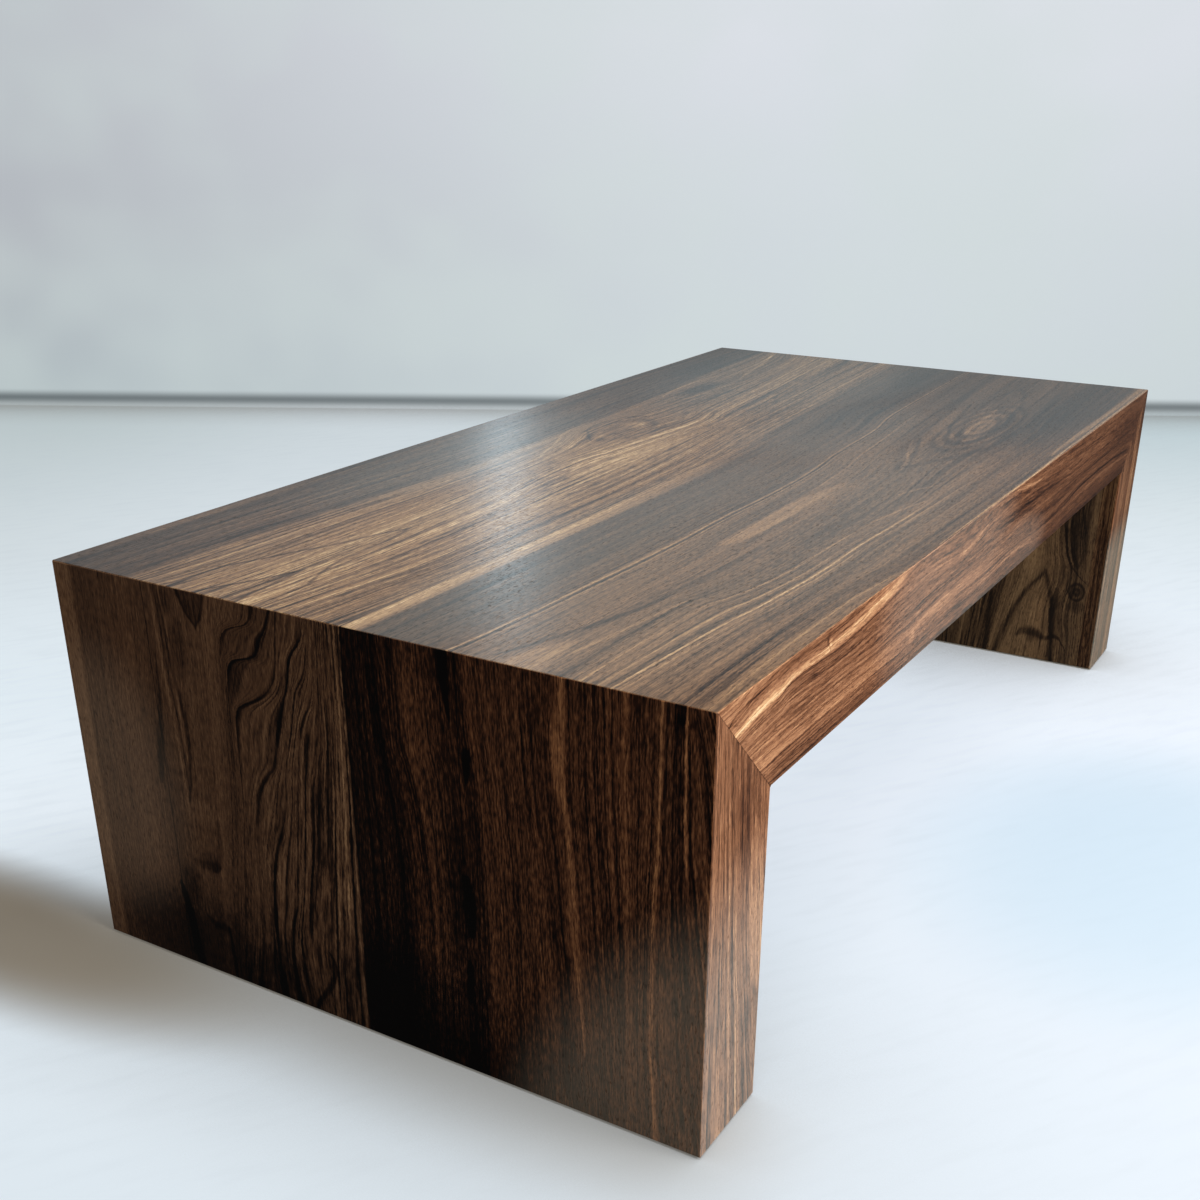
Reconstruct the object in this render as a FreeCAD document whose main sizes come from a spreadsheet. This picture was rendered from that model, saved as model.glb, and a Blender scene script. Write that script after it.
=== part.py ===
import FreeCAD, Part
import os
import Sketcher
from FreeCAD import Placement, Rotation, Vector

# A waterfall coffee table in walnut. A boxed top turns down at both ends into two boxed slab
# legs. Outer boards, side boards and inner boards make each box, and all of them are mitred
# where the top meets a leg. X runs across the table, Y along it and Z up. The origin is on the
# floor under the middle of the table, and the front leg is the one at -Y.

# Driving dimensions in millimetres.
DIMENSIONS = {
    "table_length": 1219.2,
    "table_width": 609.6,
    "table_height": 355.6,
    "panel_thickness": 88.9,
    "board_thickness": 19.05,
    "edge_ease": 0.8,
    "stave_width_one": 101.6,
    "stave_width_two": 203.2,
    "stave_width_three": 101.6,
    "rib_thickness": 19.05,
    "sole_rail_height": 38.1,
    "spline_thickness": 3.175,
    "spline_width": 12.7,
    "spline_depth": 12.7,
    "spline_setback": 50.8,
    "spline_end_play": 0.4,
    "glide_diameter": 25.4,
    "glide_thickness": 6.35,
    "glide_stand": 1.6,
    "glide_taper": 0.9,
    "glide_inset": 76.2,
    "glide_clearance": 0.3,
    "shank_diameter": 3.5,
    "shank_length": 19.0,
    "point_length": 4.0,
    "head_diameter": 7.0,
    "head_height": 2.2,
    "head_sink": 0.8,
    "overrun": 5.0,
}

INNER_BOARDS = 3
TOP_RIBS = 3

# Sizes and places that follow from the driving dimensions.
DERIVED = {
    "half_length": "table_length / 2",
    "half_width": "table_width / 2",
    "underside": "table_height - panel_thickness",
    "passage_half_length": "half_length - panel_thickness",
    "core_half_width": "half_width - board_thickness",
    "core_top": "table_height - board_thickness",
    "core_bottom": "underside + board_thickness",
    "core_outer": "half_length - board_thickness",
    "core_inner": "passage_half_length + board_thickness",
    "seam_one": "-half_width + stave_width_one",
    "seam_two": "seam_one + stave_width_two",
    "seam_three": "seam_two + stave_width_three",
    "inner_board_width": f"2 * core_half_width / {INNER_BOARDS}",
    "inner_back": "panel_thickness - board_thickness",
    "sole_top": "glide_stand + sole_rail_height",
    "leg_rib_middle": "(sole_top + core_bottom) / 2",
    "spline_half_length": "half_width - spline_setback",
    "glide_radius": "glide_diameter / 2",
    "glide_line": "half_length - panel_thickness / 2",
    "glide_offset": "half_width - glide_inset",
    "shank_radius": "shank_diameter / 2",
    "head_radius": "head_diameter / 2",
    "head_seat": "head_sink + head_height",
    "screw_tip": "head_seat + shank_length",
}

SEAMS = ["-half_width", "seam_one", "seam_two", "seam_three", "half_width"]

X_AXIS = Vector(1, 0, 0)
Z_AXIS = Vector(0, 0, 1)
HALF_TURN = 180
QUARTER_TURN = 90
MITRE_ANGLE = 45

doc = FreeCAD.newDocument("walnut_coffee_table")
sheet = doc.addObject("Spreadsheet::Sheet", "dims")
nodes = []


def fill_sheet():
    """Write the driving dimensions as plain numbers and the derived ones as formulas."""
    rows = [(alias, str(size)) for alias, size in DIMENSIONS.items()]
    rows += [(alias, f"={formula}") for alias, formula in DERIVED.items()]
    for row, (alias, text) in enumerate(rows, start=1):
        sheet.set(f"A{row}", alias)
        sheet.setAlias(f"B{row}", alias)
        sheet.set(f"B{row}", text)
    doc.recompute()


def bound(formula):
    """Point every alias in a formula at the spreadsheet."""
    spaced = formula
    for mark in "()+-*/":
        spaced = spaced.replace(mark, f" {mark} ")
    known = DIMENSIONS.keys() | DERIVED.keys()
    return " ".join(f"dims.{word}" if word in known else word for word in spaced.split())


def size_of(formula):
    """The present value of a formula, in millimetres."""
    return float(sheet.evalExpression(bound(formula).replace("dims.", "")))


def bind(piece, **formulas):
    """Bind properties of a piece to formulas of the named sizes."""
    for name, formula in formulas.items():
        piece.setExpression(name, bound(formula))
    return piece


def put(piece, x="0", y="0", z="0", axis=Z_AXIS, turn=0):
    """Turn a piece about an axis through its own origin and carry that origin to x, y, z."""
    piece.Placement = Placement(Vector(0, 0, 0), Rotation(axis, turn))
    for name, formula in zip("xyz", (x, y, z)):
        piece.setExpression(f"Placement.Base.{name}", bound(formula))
    return piece


def block(name, x_limits, y_limits, z_limits):
    """A square block between limits along the table's own axes."""
    limits = (x_limits, y_limits, z_limits)
    spans = [f"({high}) - ({low})" for low, high in limits]
    piece = bind(doc.addObject("Part::Box", name), Length=spans[0], Width=spans[1], Height=spans[2])
    return put(piece, *(low for low, high in limits))


def plank(name, depths, near, far):
    """A plank between two depths along its local Y. Its near and far faces are each given by
    their limits across, on local X, and along, on local Z, so a mitred end is a difference."""
    piece = doc.addObject("Part::Wedge", name)
    bind(piece, Ymin=depths[0], Ymax=depths[1])
    bind(piece, Xmin=near[0][0], Xmax=near[0][1], Zmin=near[1][0], Zmax=near[1][1])
    bind(piece, X2min=far[0][0], X2max=far[0][1], Z2min=far[1][0], Z2max=far[1][1])
    return piece


def combine(kind, name, shapes):
    """Several shapes as one: what they share, what they cover together, or a loose group."""
    piece = doc.addObject(kind, name)
    setattr(piece, "Links" if kind == "Part::Compound" else "Shapes", shapes)
    return piece


def cut(name, base, tool):
    """A base with the shape of a tool taken out of it."""
    piece = doc.addObject("Part::Cut", name)
    piece.Base = base
    piece.Tool = tool
    return piece


def node(piece, label):
    """Give a finished piece its own name in the assembly."""
    piece.Label = label
    nodes.append(piece)


def profile(body, name, role, corners):
    """A closed outline in one of a body's own origin planes, each corner bound to two sizes."""
    sketch = body.newObject("Sketcher::SketchObject", name)
    planes = body.Origin.OriginFeatures
    sketch.AttachmentSupport = [(next(item for item in planes if item.Role == role), "")]
    sketch.MapMode = "FlatFace"
    places = [Vector(size_of(across), size_of(up), 0) for across, up in corners]
    count = len(places)
    centre = (-1, 1)
    for edge in range(count):
        sketch.addGeometry(Part.LineSegment(places[edge], places[(edge + 1) % count]), False)
    for edge in range(count):
        sketch.addConstraint(Sketcher.Constraint("Coincident", edge, 2, (edge + 1) % count, 1))
    for edge, (corner, place) in enumerate(zip(corners, places)):
        for kind, formula, size in zip(("DistanceX", "DistanceY"), corner, place):
            ends = (*centre, edge, 1) if size >= 0 else (edge, 1, *centre)
            formula = formula if size >= 0 else f"-({formula})"
            number = sketch.addConstraint(Sketcher.Constraint(kind, *ends, abs(size)))
            sketch.setExpression(f"Constraints[{number}]", bound(formula))
    return sketch


def eased_outline():
    """The form that all outer faces keep: an arch seen from the side, with its arrises eased."""
    body = doc.addObject("PartDesign::Body", "eased_outline")
    corners = [("-half_length", "glide_stand"), ("-half_length", "table_height"),
               ("half_length", "table_height"), ("half_length", "glide_stand"),
               ("passage_half_length", "glide_stand"), ("passage_half_length", "underside"),
               ("-passage_half_length", "underside"), ("-passage_half_length", "glide_stand")]
    pad = body.newObject("PartDesign::Pad", "arch")
    pad.Profile = profile(body, "arch_profile", "YZ_Plane", corners)
    pad.Midplane = True
    bind(pad, Length="table_width")
    doc.recompute()
    chamfer = body.newObject("PartDesign::Chamfer", "eased_arrises")
    chamfer.Base = (pad, [""])
    chamfer.UseAllEdges = True
    bind(chamfer, Size="edge_ease")
    body.Tip = chamfer
    doc.recompute()
    return body


class Panel:
    """The top or a leg: where its outer face lies, and how its ends draw in with depth."""

    def __init__(self, name, place, side, ends):
        self.name = name
        self.place = place
        self.side = side
        self.ends = ends

    def across(self, low, high):
        """Limits across the table in this panel's own direction of X."""
        return (low, high) if self.side > 0 else (f"-({high})", f"-({low})")

    def plank(self, name, depths, near, far):
        """A plank of this panel from one depth to another, with its ends on the mitres."""
        near_face = (self.across(*near), self.ends(depths[0]))
        far_face = (self.across(*far), self.ends(depths[1]))
        return put(plank(name, depths, near_face, far_face), **self.place)


def top_ends(depth):
    return (f"-(half_length - ({depth}))", f"half_length - ({depth})")


def leg_ends(depth):
    return ("glide_stand", f"table_height - ({depth})")


PANELS = [
    Panel("top", dict(z="table_height", axis=X_AXIS, turn=-QUARTER_TURN), 1, top_ends),
    Panel("front_leg", dict(y="-half_length"), 1, leg_ends),
    Panel("rear_leg", dict(y="half_length", turn=HALF_TURN), -1, leg_ends),
]


def mitre_joint(end, side):
    """The spline in the outer mitre at one end of the table. Returns its groove."""
    half_width = "spline_width / 2"
    half_thickness = "spline_thickness / 2"

    def strip(name, half_length, reach):
        face = ((f"-({half_length})", half_length), (f"-({half_thickness})", half_thickness))
        piece = plank(name, (f"-({reach})", reach), face, face)
        return put(piece, y=f"{side} * (half_length - spline_depth)", z="table_height - spline_depth",
                   axis=X_AXIS, turn=-side * MITRE_ANGLE)

    node(strip(f"{end}_spline_strip", "spline_half_length", half_width), f"{end}_mitre_spline")
    return strip(f"{end}_spline_groove", "spline_half_length + spline_end_play",
                 f"{half_width} + spline_end_play")


def outer_boards(panel, outline, grooves):
    """The staves of a panel's outer face, the first and last bevelled to meet the side boards."""
    last = len(SEAMS) - 1
    for number in range(1, last + 1):
        low, high = SEAMS[number - 1], SEAMS[number]
        back_low = f"{low} + board_thickness" if number == 1 else low
        back_high = f"{high} - board_thickness" if number == last else high
        name = f"{panel.name}_stave_{number}"
        blank = panel.plank(f"{name}_blank", ("0", "board_thickness"), (low, high),
                            (back_low, back_high))
        eased = combine("Part::MultiCommon", f"{name}_eased", [blank, outline])
        node(cut(f"{name}_grooved", eased, grooves), name)


def inner_boards(panel, outline):
    """The boards of a panel's inner face, which fit between its side boards."""
    for number in range(INNER_BOARDS):
        low = f"-core_half_width + {number} * inner_board_width"
        high = f"{low} + inner_board_width"
        name = f"{panel.name}_inner_board_{number + 1}"
        blank = panel.plank(f"{name}_blank", ("inner_back", "panel_thickness"), (low, high),
                            (low, high))
        node(combine("Part::MultiCommon", f"{name}_eased", [blank, outline]), name)


def side_forms():
    """For each side of the table, a board as large as that side, bevelled on all three arrises."""
    near = (("-half_length", "half_length"), ("glide_stand", "table_height"))
    far = (("-core_outer", "core_outer"), ("glide_stand", "core_top"))
    depths = ("0", "board_thickness")
    left = put(plank("left_side_form", depths, near, far), x="-half_width", turn=-QUARTER_TURN)
    right = put(plank("right_side_form", depths, near, far), x="half_width", turn=QUARTER_TURN)
    return {"left": left, "right": right}


def side_boards(panel, outline, forms):
    """A panel's two side boards: what its slab and the side of the table share."""
    width = ("-half_width", "half_width")
    slab = panel.plank(f"{panel.name}_slab", ("0", "panel_thickness"), width, width)
    for hand, form in forms.items():
        name = f"{panel.name}_side_{hand}"
        node(combine("Part::MultiCommon", f"{name}_eased", [slab, form, outline]), name)


def core_pieces():
    """The rails and ribs inside the boxes, and the sole rails that close the legs."""
    width = ("-core_half_width", "core_half_width")
    height = ("core_bottom", "core_top")
    for end, low, high in (("front", "-core_outer", "-core_inner"),
                           ("rear", "core_inner", "core_outer")):
        node(block(f"{end}_corner_block", width, (low, high), height), f"{end}_corner_rail")
        rib = ("leg_rib_middle - rib_thickness / 2", "leg_rib_middle + rib_thickness / 2")
        node(block(f"{end}_leg_rib_block", width, (low, high), rib), f"{end}_leg_rib")
        sole = block(f"{end}_sole_blank", width, (low, high), ("glide_stand", "sole_top"))
        bores = combine("Part::Compound", f"{end}_sole_bores", glide_bores(end))
        node(cut(f"{end}_sole_bored", sole, bores), f"{end}_leg_sole_rail")
    for number in range(1, TOP_RIBS + 1):
        middle = f"core_inner * ({2 * number} / {TOP_RIBS + 1} - 1)"
        limits = (f"{middle} - rib_thickness / 2", f"{middle} + rib_thickness / 2")
        node(block(f"top_rib_block_{number}", width, limits, height), f"top_rib_{number}")


def glide_places(end):
    """Where the two glides of one leg stand."""
    line = "-glide_line" if end == "front" else "glide_line"
    return [("left", "-glide_offset", line), ("right", "glide_offset", line)]


def glide_bores(end):
    """For each glide of a leg, its recess in the sole rail and the pilot hole of its screw."""
    bores = []
    for hand, x, y in glide_places(end):
        recess = doc.addObject("Part::Cylinder", f"{end}_{hand}_glide_recess")
        bind(recess, Radius="glide_radius + glide_clearance",
             Height="glide_thickness - glide_stand + overrun")
        pilot = doc.addObject("Part::Cylinder", f"{end}_{hand}_pilot_hole")
        bind(pilot, Radius="shank_radius", Height="screw_tip - glide_stand + overrun")
        pair = doc.addObject("Part::Fuse", f"{end}_{hand}_glide_bore")
        pair.Base = put(recess, x, y, "glide_stand - overrun")
        pair.Tool = put(pilot, x, y, "glide_stand - overrun")
        bores.append(pair)
    return bores


def turned(name, corners, x, y):
    """A round piece turned about the vertical through x, y, from half of its section."""
    body = doc.addObject("PartDesign::Body", name)
    sketch = profile(body, f"{name}_section", "XZ_Plane", corners)
    turning = body.newObject("PartDesign::Revolution", f"{name}_turned")
    turning.Profile = sketch
    turning.ReferenceAxis = (sketch, ["V_Axis"])
    body.Tip = turning
    return put(body, x, y)


def glides_and_screws():
    """Four low glides let into the sole rails, and the group of screws that hold them."""
    bore = "shank_radius + glide_clearance"
    pocket = "head_radius + glide_clearance"
    glide = [(bore, "head_seat"), (pocket, "head_seat"), (pocket, "0"),
             ("glide_radius - glide_taper", "0"), ("glide_radius", "glide_taper"),
             ("glide_radius", "glide_thickness"), (bore, "glide_thickness")]
    screw = [("0", "head_sink"), ("head_radius", "head_sink"), ("head_radius", "head_seat"),
             ("shank_radius", "head_seat"), ("shank_radius", "screw_tip - point_length"),
             ("0", "screw_tip")]
    screws = []
    for end in ("front", "rear"):
        for hand, x, y in glide_places(end):
            node(turned(f"{end}_{hand}_glide_body", glide, x, y), f"glide_{end}_{hand}")
            screws.append(turned(f"{end}_{hand}_screw_body", screw, x, y))
    node(combine("Part::Compound", "screw_group", screws), "glide_screws")


def check():
    """Stop if an object failed to compute or a piece isn't a sound solid."""
    for item in doc.Objects:
        if "Invalid" in item.State or "Error" in item.State:
            raise RuntimeError(f"{item.Name} failed: {item.State}")
    for piece in nodes:
        shape = piece.Shape
        if shape.isNull() or not shape.isValid() or not shape.Solids:
            raise RuntimeError(f"{piece.Label} has no sound solid")


def write():
    """Write each piece to its own file."""
    os.makedirs("parts", exist_ok=True)
    for piece in nodes:
        piece.Shape.exportStep(f"parts/{piece.Label}.step")
        print(piece.Label, len(piece.Shape.Solids), round(piece.Shape.Volume))


fill_sheet()
arch = eased_outline()
mitre_grooves = combine("Part::Compound", "mitre_grooves",
                        [mitre_joint("front", -1), mitre_joint("rear", 1)])
side_shapes = side_forms()
for table_panel in PANELS:
    outer_boards(table_panel, arch, mitre_grooves)
    side_boards(table_panel, arch, side_shapes)
    inner_boards(table_panel, arch)
core_pieces()
glides_and_screws()
doc.recompute()
check()
write()
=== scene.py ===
import math

import bpy
from mathutils import Matrix, Vector

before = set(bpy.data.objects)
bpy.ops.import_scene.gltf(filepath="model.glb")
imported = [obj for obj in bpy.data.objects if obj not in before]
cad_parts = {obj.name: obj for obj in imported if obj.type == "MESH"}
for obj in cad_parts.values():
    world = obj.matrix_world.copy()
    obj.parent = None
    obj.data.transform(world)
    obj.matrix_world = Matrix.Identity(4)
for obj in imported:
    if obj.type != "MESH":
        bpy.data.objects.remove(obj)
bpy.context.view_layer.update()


class Field:
    """A number that varies over a surface. Python's operators add the nodes that work on it."""

    def __init__(self, shade, socket):
        self.shade = shade
        self.socket = socket

    def math(self, operation, *values):
        return self.shade.node("Math", {"operation": operation}, dict(enumerate(values)))

    def __add__(self, other):
        return self.math("ADD", self, other)

    def __sub__(self, other):
        return self.math("SUBTRACT", self, other)

    def __rsub__(self, other):
        return self.math("SUBTRACT", other, self)

    def __mul__(self, other):
        return self.math("MULTIPLY", self, other)

    def __truediv__(self, other):
        return self.math("DIVIDE", self, other)

    def __rtruediv__(self, other):
        return self.math("DIVIDE", other, self)

    def __pow__(self, other):
        return self.math("POWER", self, other)

    def __abs__(self):
        return self.math("ABSOLUTE", self)

    __radd__ = __add__
    __rmul__ = __mul__

    def least(self, other):
        """The lower of two numbers."""
        return self.math("MINIMUM", self, other)

    def most(self, other):
        """The higher of two numbers."""
        return self.math("MAXIMUM", self, other)

    def over(self, limit):
        """1 where the number is over a limit, and 0 elsewhere."""
        return self.math("GREATER_THAN", self, limit)

    def clip(self):
        return self.most(0.0).least(1.0)

    def step(self, low, high):
        """Rise smoothly from 0 at low to 1 at high, or fall if low is above high."""
        return self.shade.node("MapRange", {"interpolation_type": "SMOOTHSTEP"},
                               {"Value": self, "From Min": low, "From Max": high})

    def near(self, centre, reach):
        """1 at the centre, and fading to 0 at a reach from it."""
        return abs(self - centre).step(reach, 0.0)


def srgb(red, green, blue):
    """A colour as a screen shows it, 0 to 255, turned into the light it stands for."""
    return tuple((part / 255.0) ** 2.2 for part in (red, green, blue)) + (1.0,)


def oval(x, y, middle_x, middle_y, reach_x, reach_y):
    """How far a spot is from an oval's middle, squared: 0 in the middle and 1 at the rim."""
    return ((x - middle_x) / reach_x) ** 2.0 + ((y - middle_y) / reach_y) ** 2.0


def between(along, start, end, fade):
    """1 between two places and 0 beyond them, where one of the two may be None. Both ends make
    one mask first, because rows that share a stretch then share a mask, and Cycles has little
    room for values that wait to be used."""
    inside = None if start is None else along.step(start - fade, start + fade)
    if end is not None:
        until = along.step(end + fade, end - fade)
        inside = until if inside is None else inside * until
    return inside


class Shade:
    """The nodes of one material, or of the world when that is given."""

    def __init__(self, name, world=None):
        self.material = world or bpy.data.materials.new(name)
        self.material.use_nodes = True
        self.tree = self.material.node_tree
        self.tree.nodes.clear()

    def node(self, kind, settings, sockets, output=0):
        """Add a node: its settings first, then the values or links of its sockets."""
        made = self.tree.nodes.new("ShaderNode" + kind)
        for name, setting in settings.items():
            if name == "stops":
                self.set_stops(made.color_ramp, setting)
            elif name == "points":
                self.set_points(made.mapping, setting)
            else:
                setattr(made, name, setting)
        for name, value in sockets.items():
            if isinstance(value, Field):
                self.tree.links.new(value.socket, made.inputs[name])
            else:
                made.inputs[name].default_value = value
        return Field(self, made.outputs[output]) if made.outputs else None

    def set_stops(self, ramp, stops):
        while len(ramp.elements) < len(stops):
            ramp.elements.new(0.5)
        for element, (place, *colour) in zip(ramp.elements, stops):
            element.position = place
            element.color = srgb(*colour)

    def set_points(self, mapping, points):
        curve = mapping.curves[0]
        while len(curve.points) < len(points):
            curve.points.new(0.5, 0.5)
        for point, place in zip(curve.points, points):
            point.location = place
            point.handle_type = "AUTO"
        mapping.extend = "HORIZONTAL"
        mapping.update()

    def curve(self, value, rows, column=1):
        """A smooth curve through given rows: where, and in the given column how much."""
        ends = [row[0] for row in rows]
        amounts = [row[column] for row in rows]
        first, span = ends[0], ends[-1] - ends[0]
        least = min(amounts)
        reach = max(max(amounts) - least, 1e-6)
        points = [((end - first) / span, (amount - least) / reach)
                  for end, amount in zip(ends, amounts)]
        share = ((value - first) / span).clip()
        return self.node("FloatCurve", {"points": points}, {"Value": share}) * reach + least

    def noise(self, vector, detail=2.0, rough=0.5):
        """Smooth noise from 0 to 1 at a place."""
        return self.node("TexNoise", {"noise_dimensions": "3D"},
                         {"Vector": vector, "Scale": 1.0, "Detail": detail, "Roughness": rough})

    def place(self, x, y, z):
        return self.node("CombineXYZ", {}, {"X": x, "Y": y, "Z": z})

    def axis(self, vector, letter):
        return self.node("SeparateXYZ", {}, {"Vector": vector}, letter)

    def spot(self, x_scale=1.0, y_scale=None, z_scale=None):
        """Where a spot of the object is, in metres times one scale or one for each axis."""
        scales = (x_scale, y_scale or x_scale, z_scale or x_scale)
        return self.node("VectorMath", {"operation": "MULTIPLY"},
                         {0: self.node("TexCoord", {}, {}, "Object"), 1: scales})

    def towards(self, vector, direction):
        """How far a place lies in a direction."""
        return self.node("VectorMath", {"operation": "DOT_PRODUCT"}, {0: vector, 1: direction},
                         "Value")

    def mix(self, factor, low, high, blend="MIX"):
        """Mix two colours."""
        return self.node("Mix", {"data_type": "RGBA", "blend_type": blend},
                         {0: factor, 6: low, 7: high}, 2)

    def washes(self, colour, *washes):
        """Thin coats of colour, one over the other: where, how much and which colour."""
        for where, amount, wash in washes:
            colour = self.mix(where * amount, colour, wash)
        return colour

    def ramp(self, value, stops):
        """Colours by a number, from stops given as where, red, green and blue."""
        return self.node("ValToRGB", {"stops": stops}, {"Fac": value})

    def bump(self, height, depth, strength):
        """A normal that follows a height from 0 to 1, depth deep in metres."""
        return self.node("Bump", {}, {"Height": height, "Distance": depth, "Strength": strength})

    def finish(self, one_sided=False, **sockets):
        """Close the material with its surface shader, clear from behind if one-sided."""
        names = {"colour": "Base Color", "roughness": "Roughness", "normal": "Normal",
                 "metallic": "Metallic", "shine": "Specular IOR Level", "glow": "Emission Color"}
        wired = {names[name]: value for name, value in sockets.items()}
        if "glow" in sockets:
            wired["Emission Strength"] = 1.0
        shader = self.node("BsdfPrincipled", {}, wired)
        if one_sided:
            behind = self.node("NewGeometry", {}, {}, "Backfacing")
            shader = self.node("MixShader", {},
                               {0: behind, 1: shader, 2: self.node("BsdfTransparent", {}, {})})
        self.node("OutputMaterial", {}, {"Surface": shader})
        return self.material


# The table in millimetres, as in the CAD.
HALF_LENGTH, HALF_WIDTH, HEIGHT, PANEL = 609.6, 304.8, 355.6, 88.9
STAVE_SEAMS = (-203.2, 0.0, 101.6)
INNER_SEAM = 95.25

# The camera of the photograph, worked out from the table's own corners.
PHOTO_SIZE = 1200
FOCAL_PIXELS = 1443.3
PRINCIPAL_POINT = (607.4, 765.7)
SENSOR = 36.0
CAMERA_PLACE = Vector((0.6679, -1.3560, 0.7124))
CAMERA_YAW = -0.5355
CAMERA_PITCH = -0.4441
CAMERA_ROLL = 0.0034
CAMERA_NEAR_CLIP, CAMERA_FAR_CLIP = 0.05, 50.0


def level_axes(yaw):
    """The level directions ahead and to the right of someone who faces that way."""
    return (Vector((math.sin(yaw), math.cos(yaw), 0.0)),
            Vector((math.cos(yaw), -math.sin(yaw), 0.0)))


def make_camera():
    level = level_axes(CAMERA_YAW)[1]
    forward = Vector((math.sin(CAMERA_YAW) * math.cos(CAMERA_PITCH),
                      math.cos(CAMERA_YAW) * math.cos(CAMERA_PITCH), math.sin(CAMERA_PITCH)))
    up = level.cross(forward)
    right = math.cos(CAMERA_ROLL) * level + math.sin(CAMERA_ROLL) * up
    up = right.cross(forward)
    data = bpy.data.cameras.new("photo_camera")
    data.sensor_width = SENSOR
    data.lens = FOCAL_PIXELS * SENSOR / PHOTO_SIZE
    data.shift_x = (PHOTO_SIZE / 2 - PRINCIPAL_POINT[0]) / PHOTO_SIZE
    data.shift_y = (PRINCIPAL_POINT[1] - PHOTO_SIZE / 2) / PHOTO_SIZE
    data.clip_start = CAMERA_NEAR_CLIP
    data.clip_end = CAMERA_FAR_CLIP
    camera = bpy.data.objects.new("photo_camera", data)
    turn = Matrix((right, up, -forward)).transposed().to_4x4()
    camera.matrix_world = Matrix.Translation(CAMERA_PLACE) @ turn
    bpy.context.scene.collection.objects.link(camera)
    bpy.context.scene.camera = camera


# The lamps: name, place, what it faces, size, watts and colour.
LAMPS = (
    ("key_from_the_right", (1.60, -0.55, 1.15), (0.25, -0.45, 0.3), (1.1, 0.9), 30.0,
     (1.0, 0.97, 0.93)),
    ("soft_overhead", (0.8, -0.3, 2.1), (0.0, -0.3, 0.3), (1.4, 1.2), 23.0, (1.0, 0.98, 0.95)),
    ("low_fill_in_front", (-0.9, -3.2, 1.3), (0.0, -0.6, 0.1), (2.6, 1.6), 6.0,
     (1.0, 0.97, 0.93)),
    ("window_strip", (-1.216, 1.353, 0.97), (-0.1, -0.25, 0.36), (0.06, 0.42), 0.8,
     (0.72, 0.90, 1.0)),
)
SKY_LIGHT = (0.84, 0.91, 0.96, 1.0)
SKY_SEEN = (2.05, 2.26, 2.42, 1.0)
SKY_STRENGTH = 0.30


def make_lights():
    for name, place, target, size, watts, colour in LAMPS:
        data = bpy.data.lights.new(name, "AREA")
        data.shape = "RECTANGLE"
        data.size, data.size_y = size
        data.energy = watts
        data.color = colour
        lamp = bpy.data.objects.new(name, data)
        lamp.location = place
        facing = Vector(target) - Vector(place)
        lamp.rotation_euler = facing.to_track_quat("-Z", "Y").to_euler()
        lamp.visible_camera = False
        bpy.context.scene.collection.objects.link(lamp)
    world = bpy.data.worlds.new("pale_room")
    shade = Shade("pale_room", world)
    seen = shade.node("LightPath", {}, {}, "Is Camera Ray")
    sky = shade.mix(seen, SKY_LIGHT, SKY_SEEN)
    room = shade.node("Background", {}, {"Color": sky, "Strength": SKY_STRENGTH})
    shade.node("OutputWorld", {}, {"Surface": room})
    bpy.context.scene.world = world
    bpy.context.scene.view_settings.view_transform = "Standard"


# The pale floor and wall, in one sheet with a rounded bend.
WALL_DISTANCE = 3.47
STAGE_HALF_WIDTH = 5.0
STAGE_FRONT = 5.0
STAGE_TURN = 0.028
STAGE_DROP = 0.0002
WALL_HEIGHT = 2.6
BEND_RADIUS = 0.012
BEND_STEPS = 5


def make_stage():
    ahead, across = level_axes(CAMERA_YAW + STAGE_TURN)
    start = Vector((CAMERA_PLACE.x, CAMERA_PLACE.y, -STAGE_DROP))
    section = [(-STAGE_FRONT, 0.0)]
    for step in range(BEND_STEPS + 1):
        angle = math.pi / 2 * step / BEND_STEPS
        section.append((WALL_DISTANCE - BEND_RADIUS + BEND_RADIUS * math.sin(angle),
                        BEND_RADIUS - BEND_RADIUS * math.cos(angle)))
    section.append((WALL_DISTANCE, WALL_HEIGHT))
    corners = []
    for along, height in section:
        for side in (-STAGE_HALF_WIDTH, STAGE_HALF_WIDTH):
            corners.append(start + ahead * along + across * side + Vector((0.0, 0.0, height)))
    faces = [(2 * row, 2 * row + 1, 2 * row + 3, 2 * row + 2) for row in range(len(section) - 1)]
    mesh = bpy.data.meshes.new("floor_and_wall")
    mesh.from_pydata(corners, [], faces)
    for polygon in mesh.polygons:
        polygon.use_smooth = True
    floor = bpy.data.objects.new("floor_and_wall", mesh)
    bpy.context.scene.collection.objects.link(floor)
    mesh.materials.append(make_pale_plaster())


# The glow of floor and wall: floor from the camera's foot to the wall, wall up to a metre high.
FLOOR_SHADY_SIDE = ((0.22, 168, 184, 192), (0.33, 188, 202, 210), (0.40, 222, 232, 239),
                    (0.49, 209, 222, 229), (0.66, 192, 202, 206), (0.93, 174, 186, 188))
FLOOR_WINDOW_SIDE = ((0.22, 184, 195, 207), (0.40, 202, 211, 224), (0.50, 212, 221, 232),
                     (0.75, 200, 211, 216), (0.93, 178, 194, 199))
WALL_SHADY_SIDE = ((0.05, 150, 162, 166), (0.4, 152, 156, 162), (0.8, 158, 162, 168))
WALL_WINDOW_SIDE = ((0.05, 182, 192, 196), (0.4, 186, 194, 199), (0.8, 198, 202, 209))
# Colours washed over the glow. Foot shade, the brown one and contact shade are painted shadows on the
# floor.
BRIGHT_LANE = srgb(214, 221, 230)
BRUSHED_GREY = srgb(160, 172, 182)
COOL_PATCH = srgb(150, 184, 206)
FOOT_SHADE = srgb(122, 116, 106)
PAINTED_SHADOW_BROWN = srgb(72, 55, 25)
CONTACT_SHADE = srgb(96, 90, 80)
WALL_CLOUD = srgb(184, 196, 194)
# A painted shadow along the wall's foot.
WALL_FOOT_SHADOW = srgb(40, 54, 58)
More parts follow.
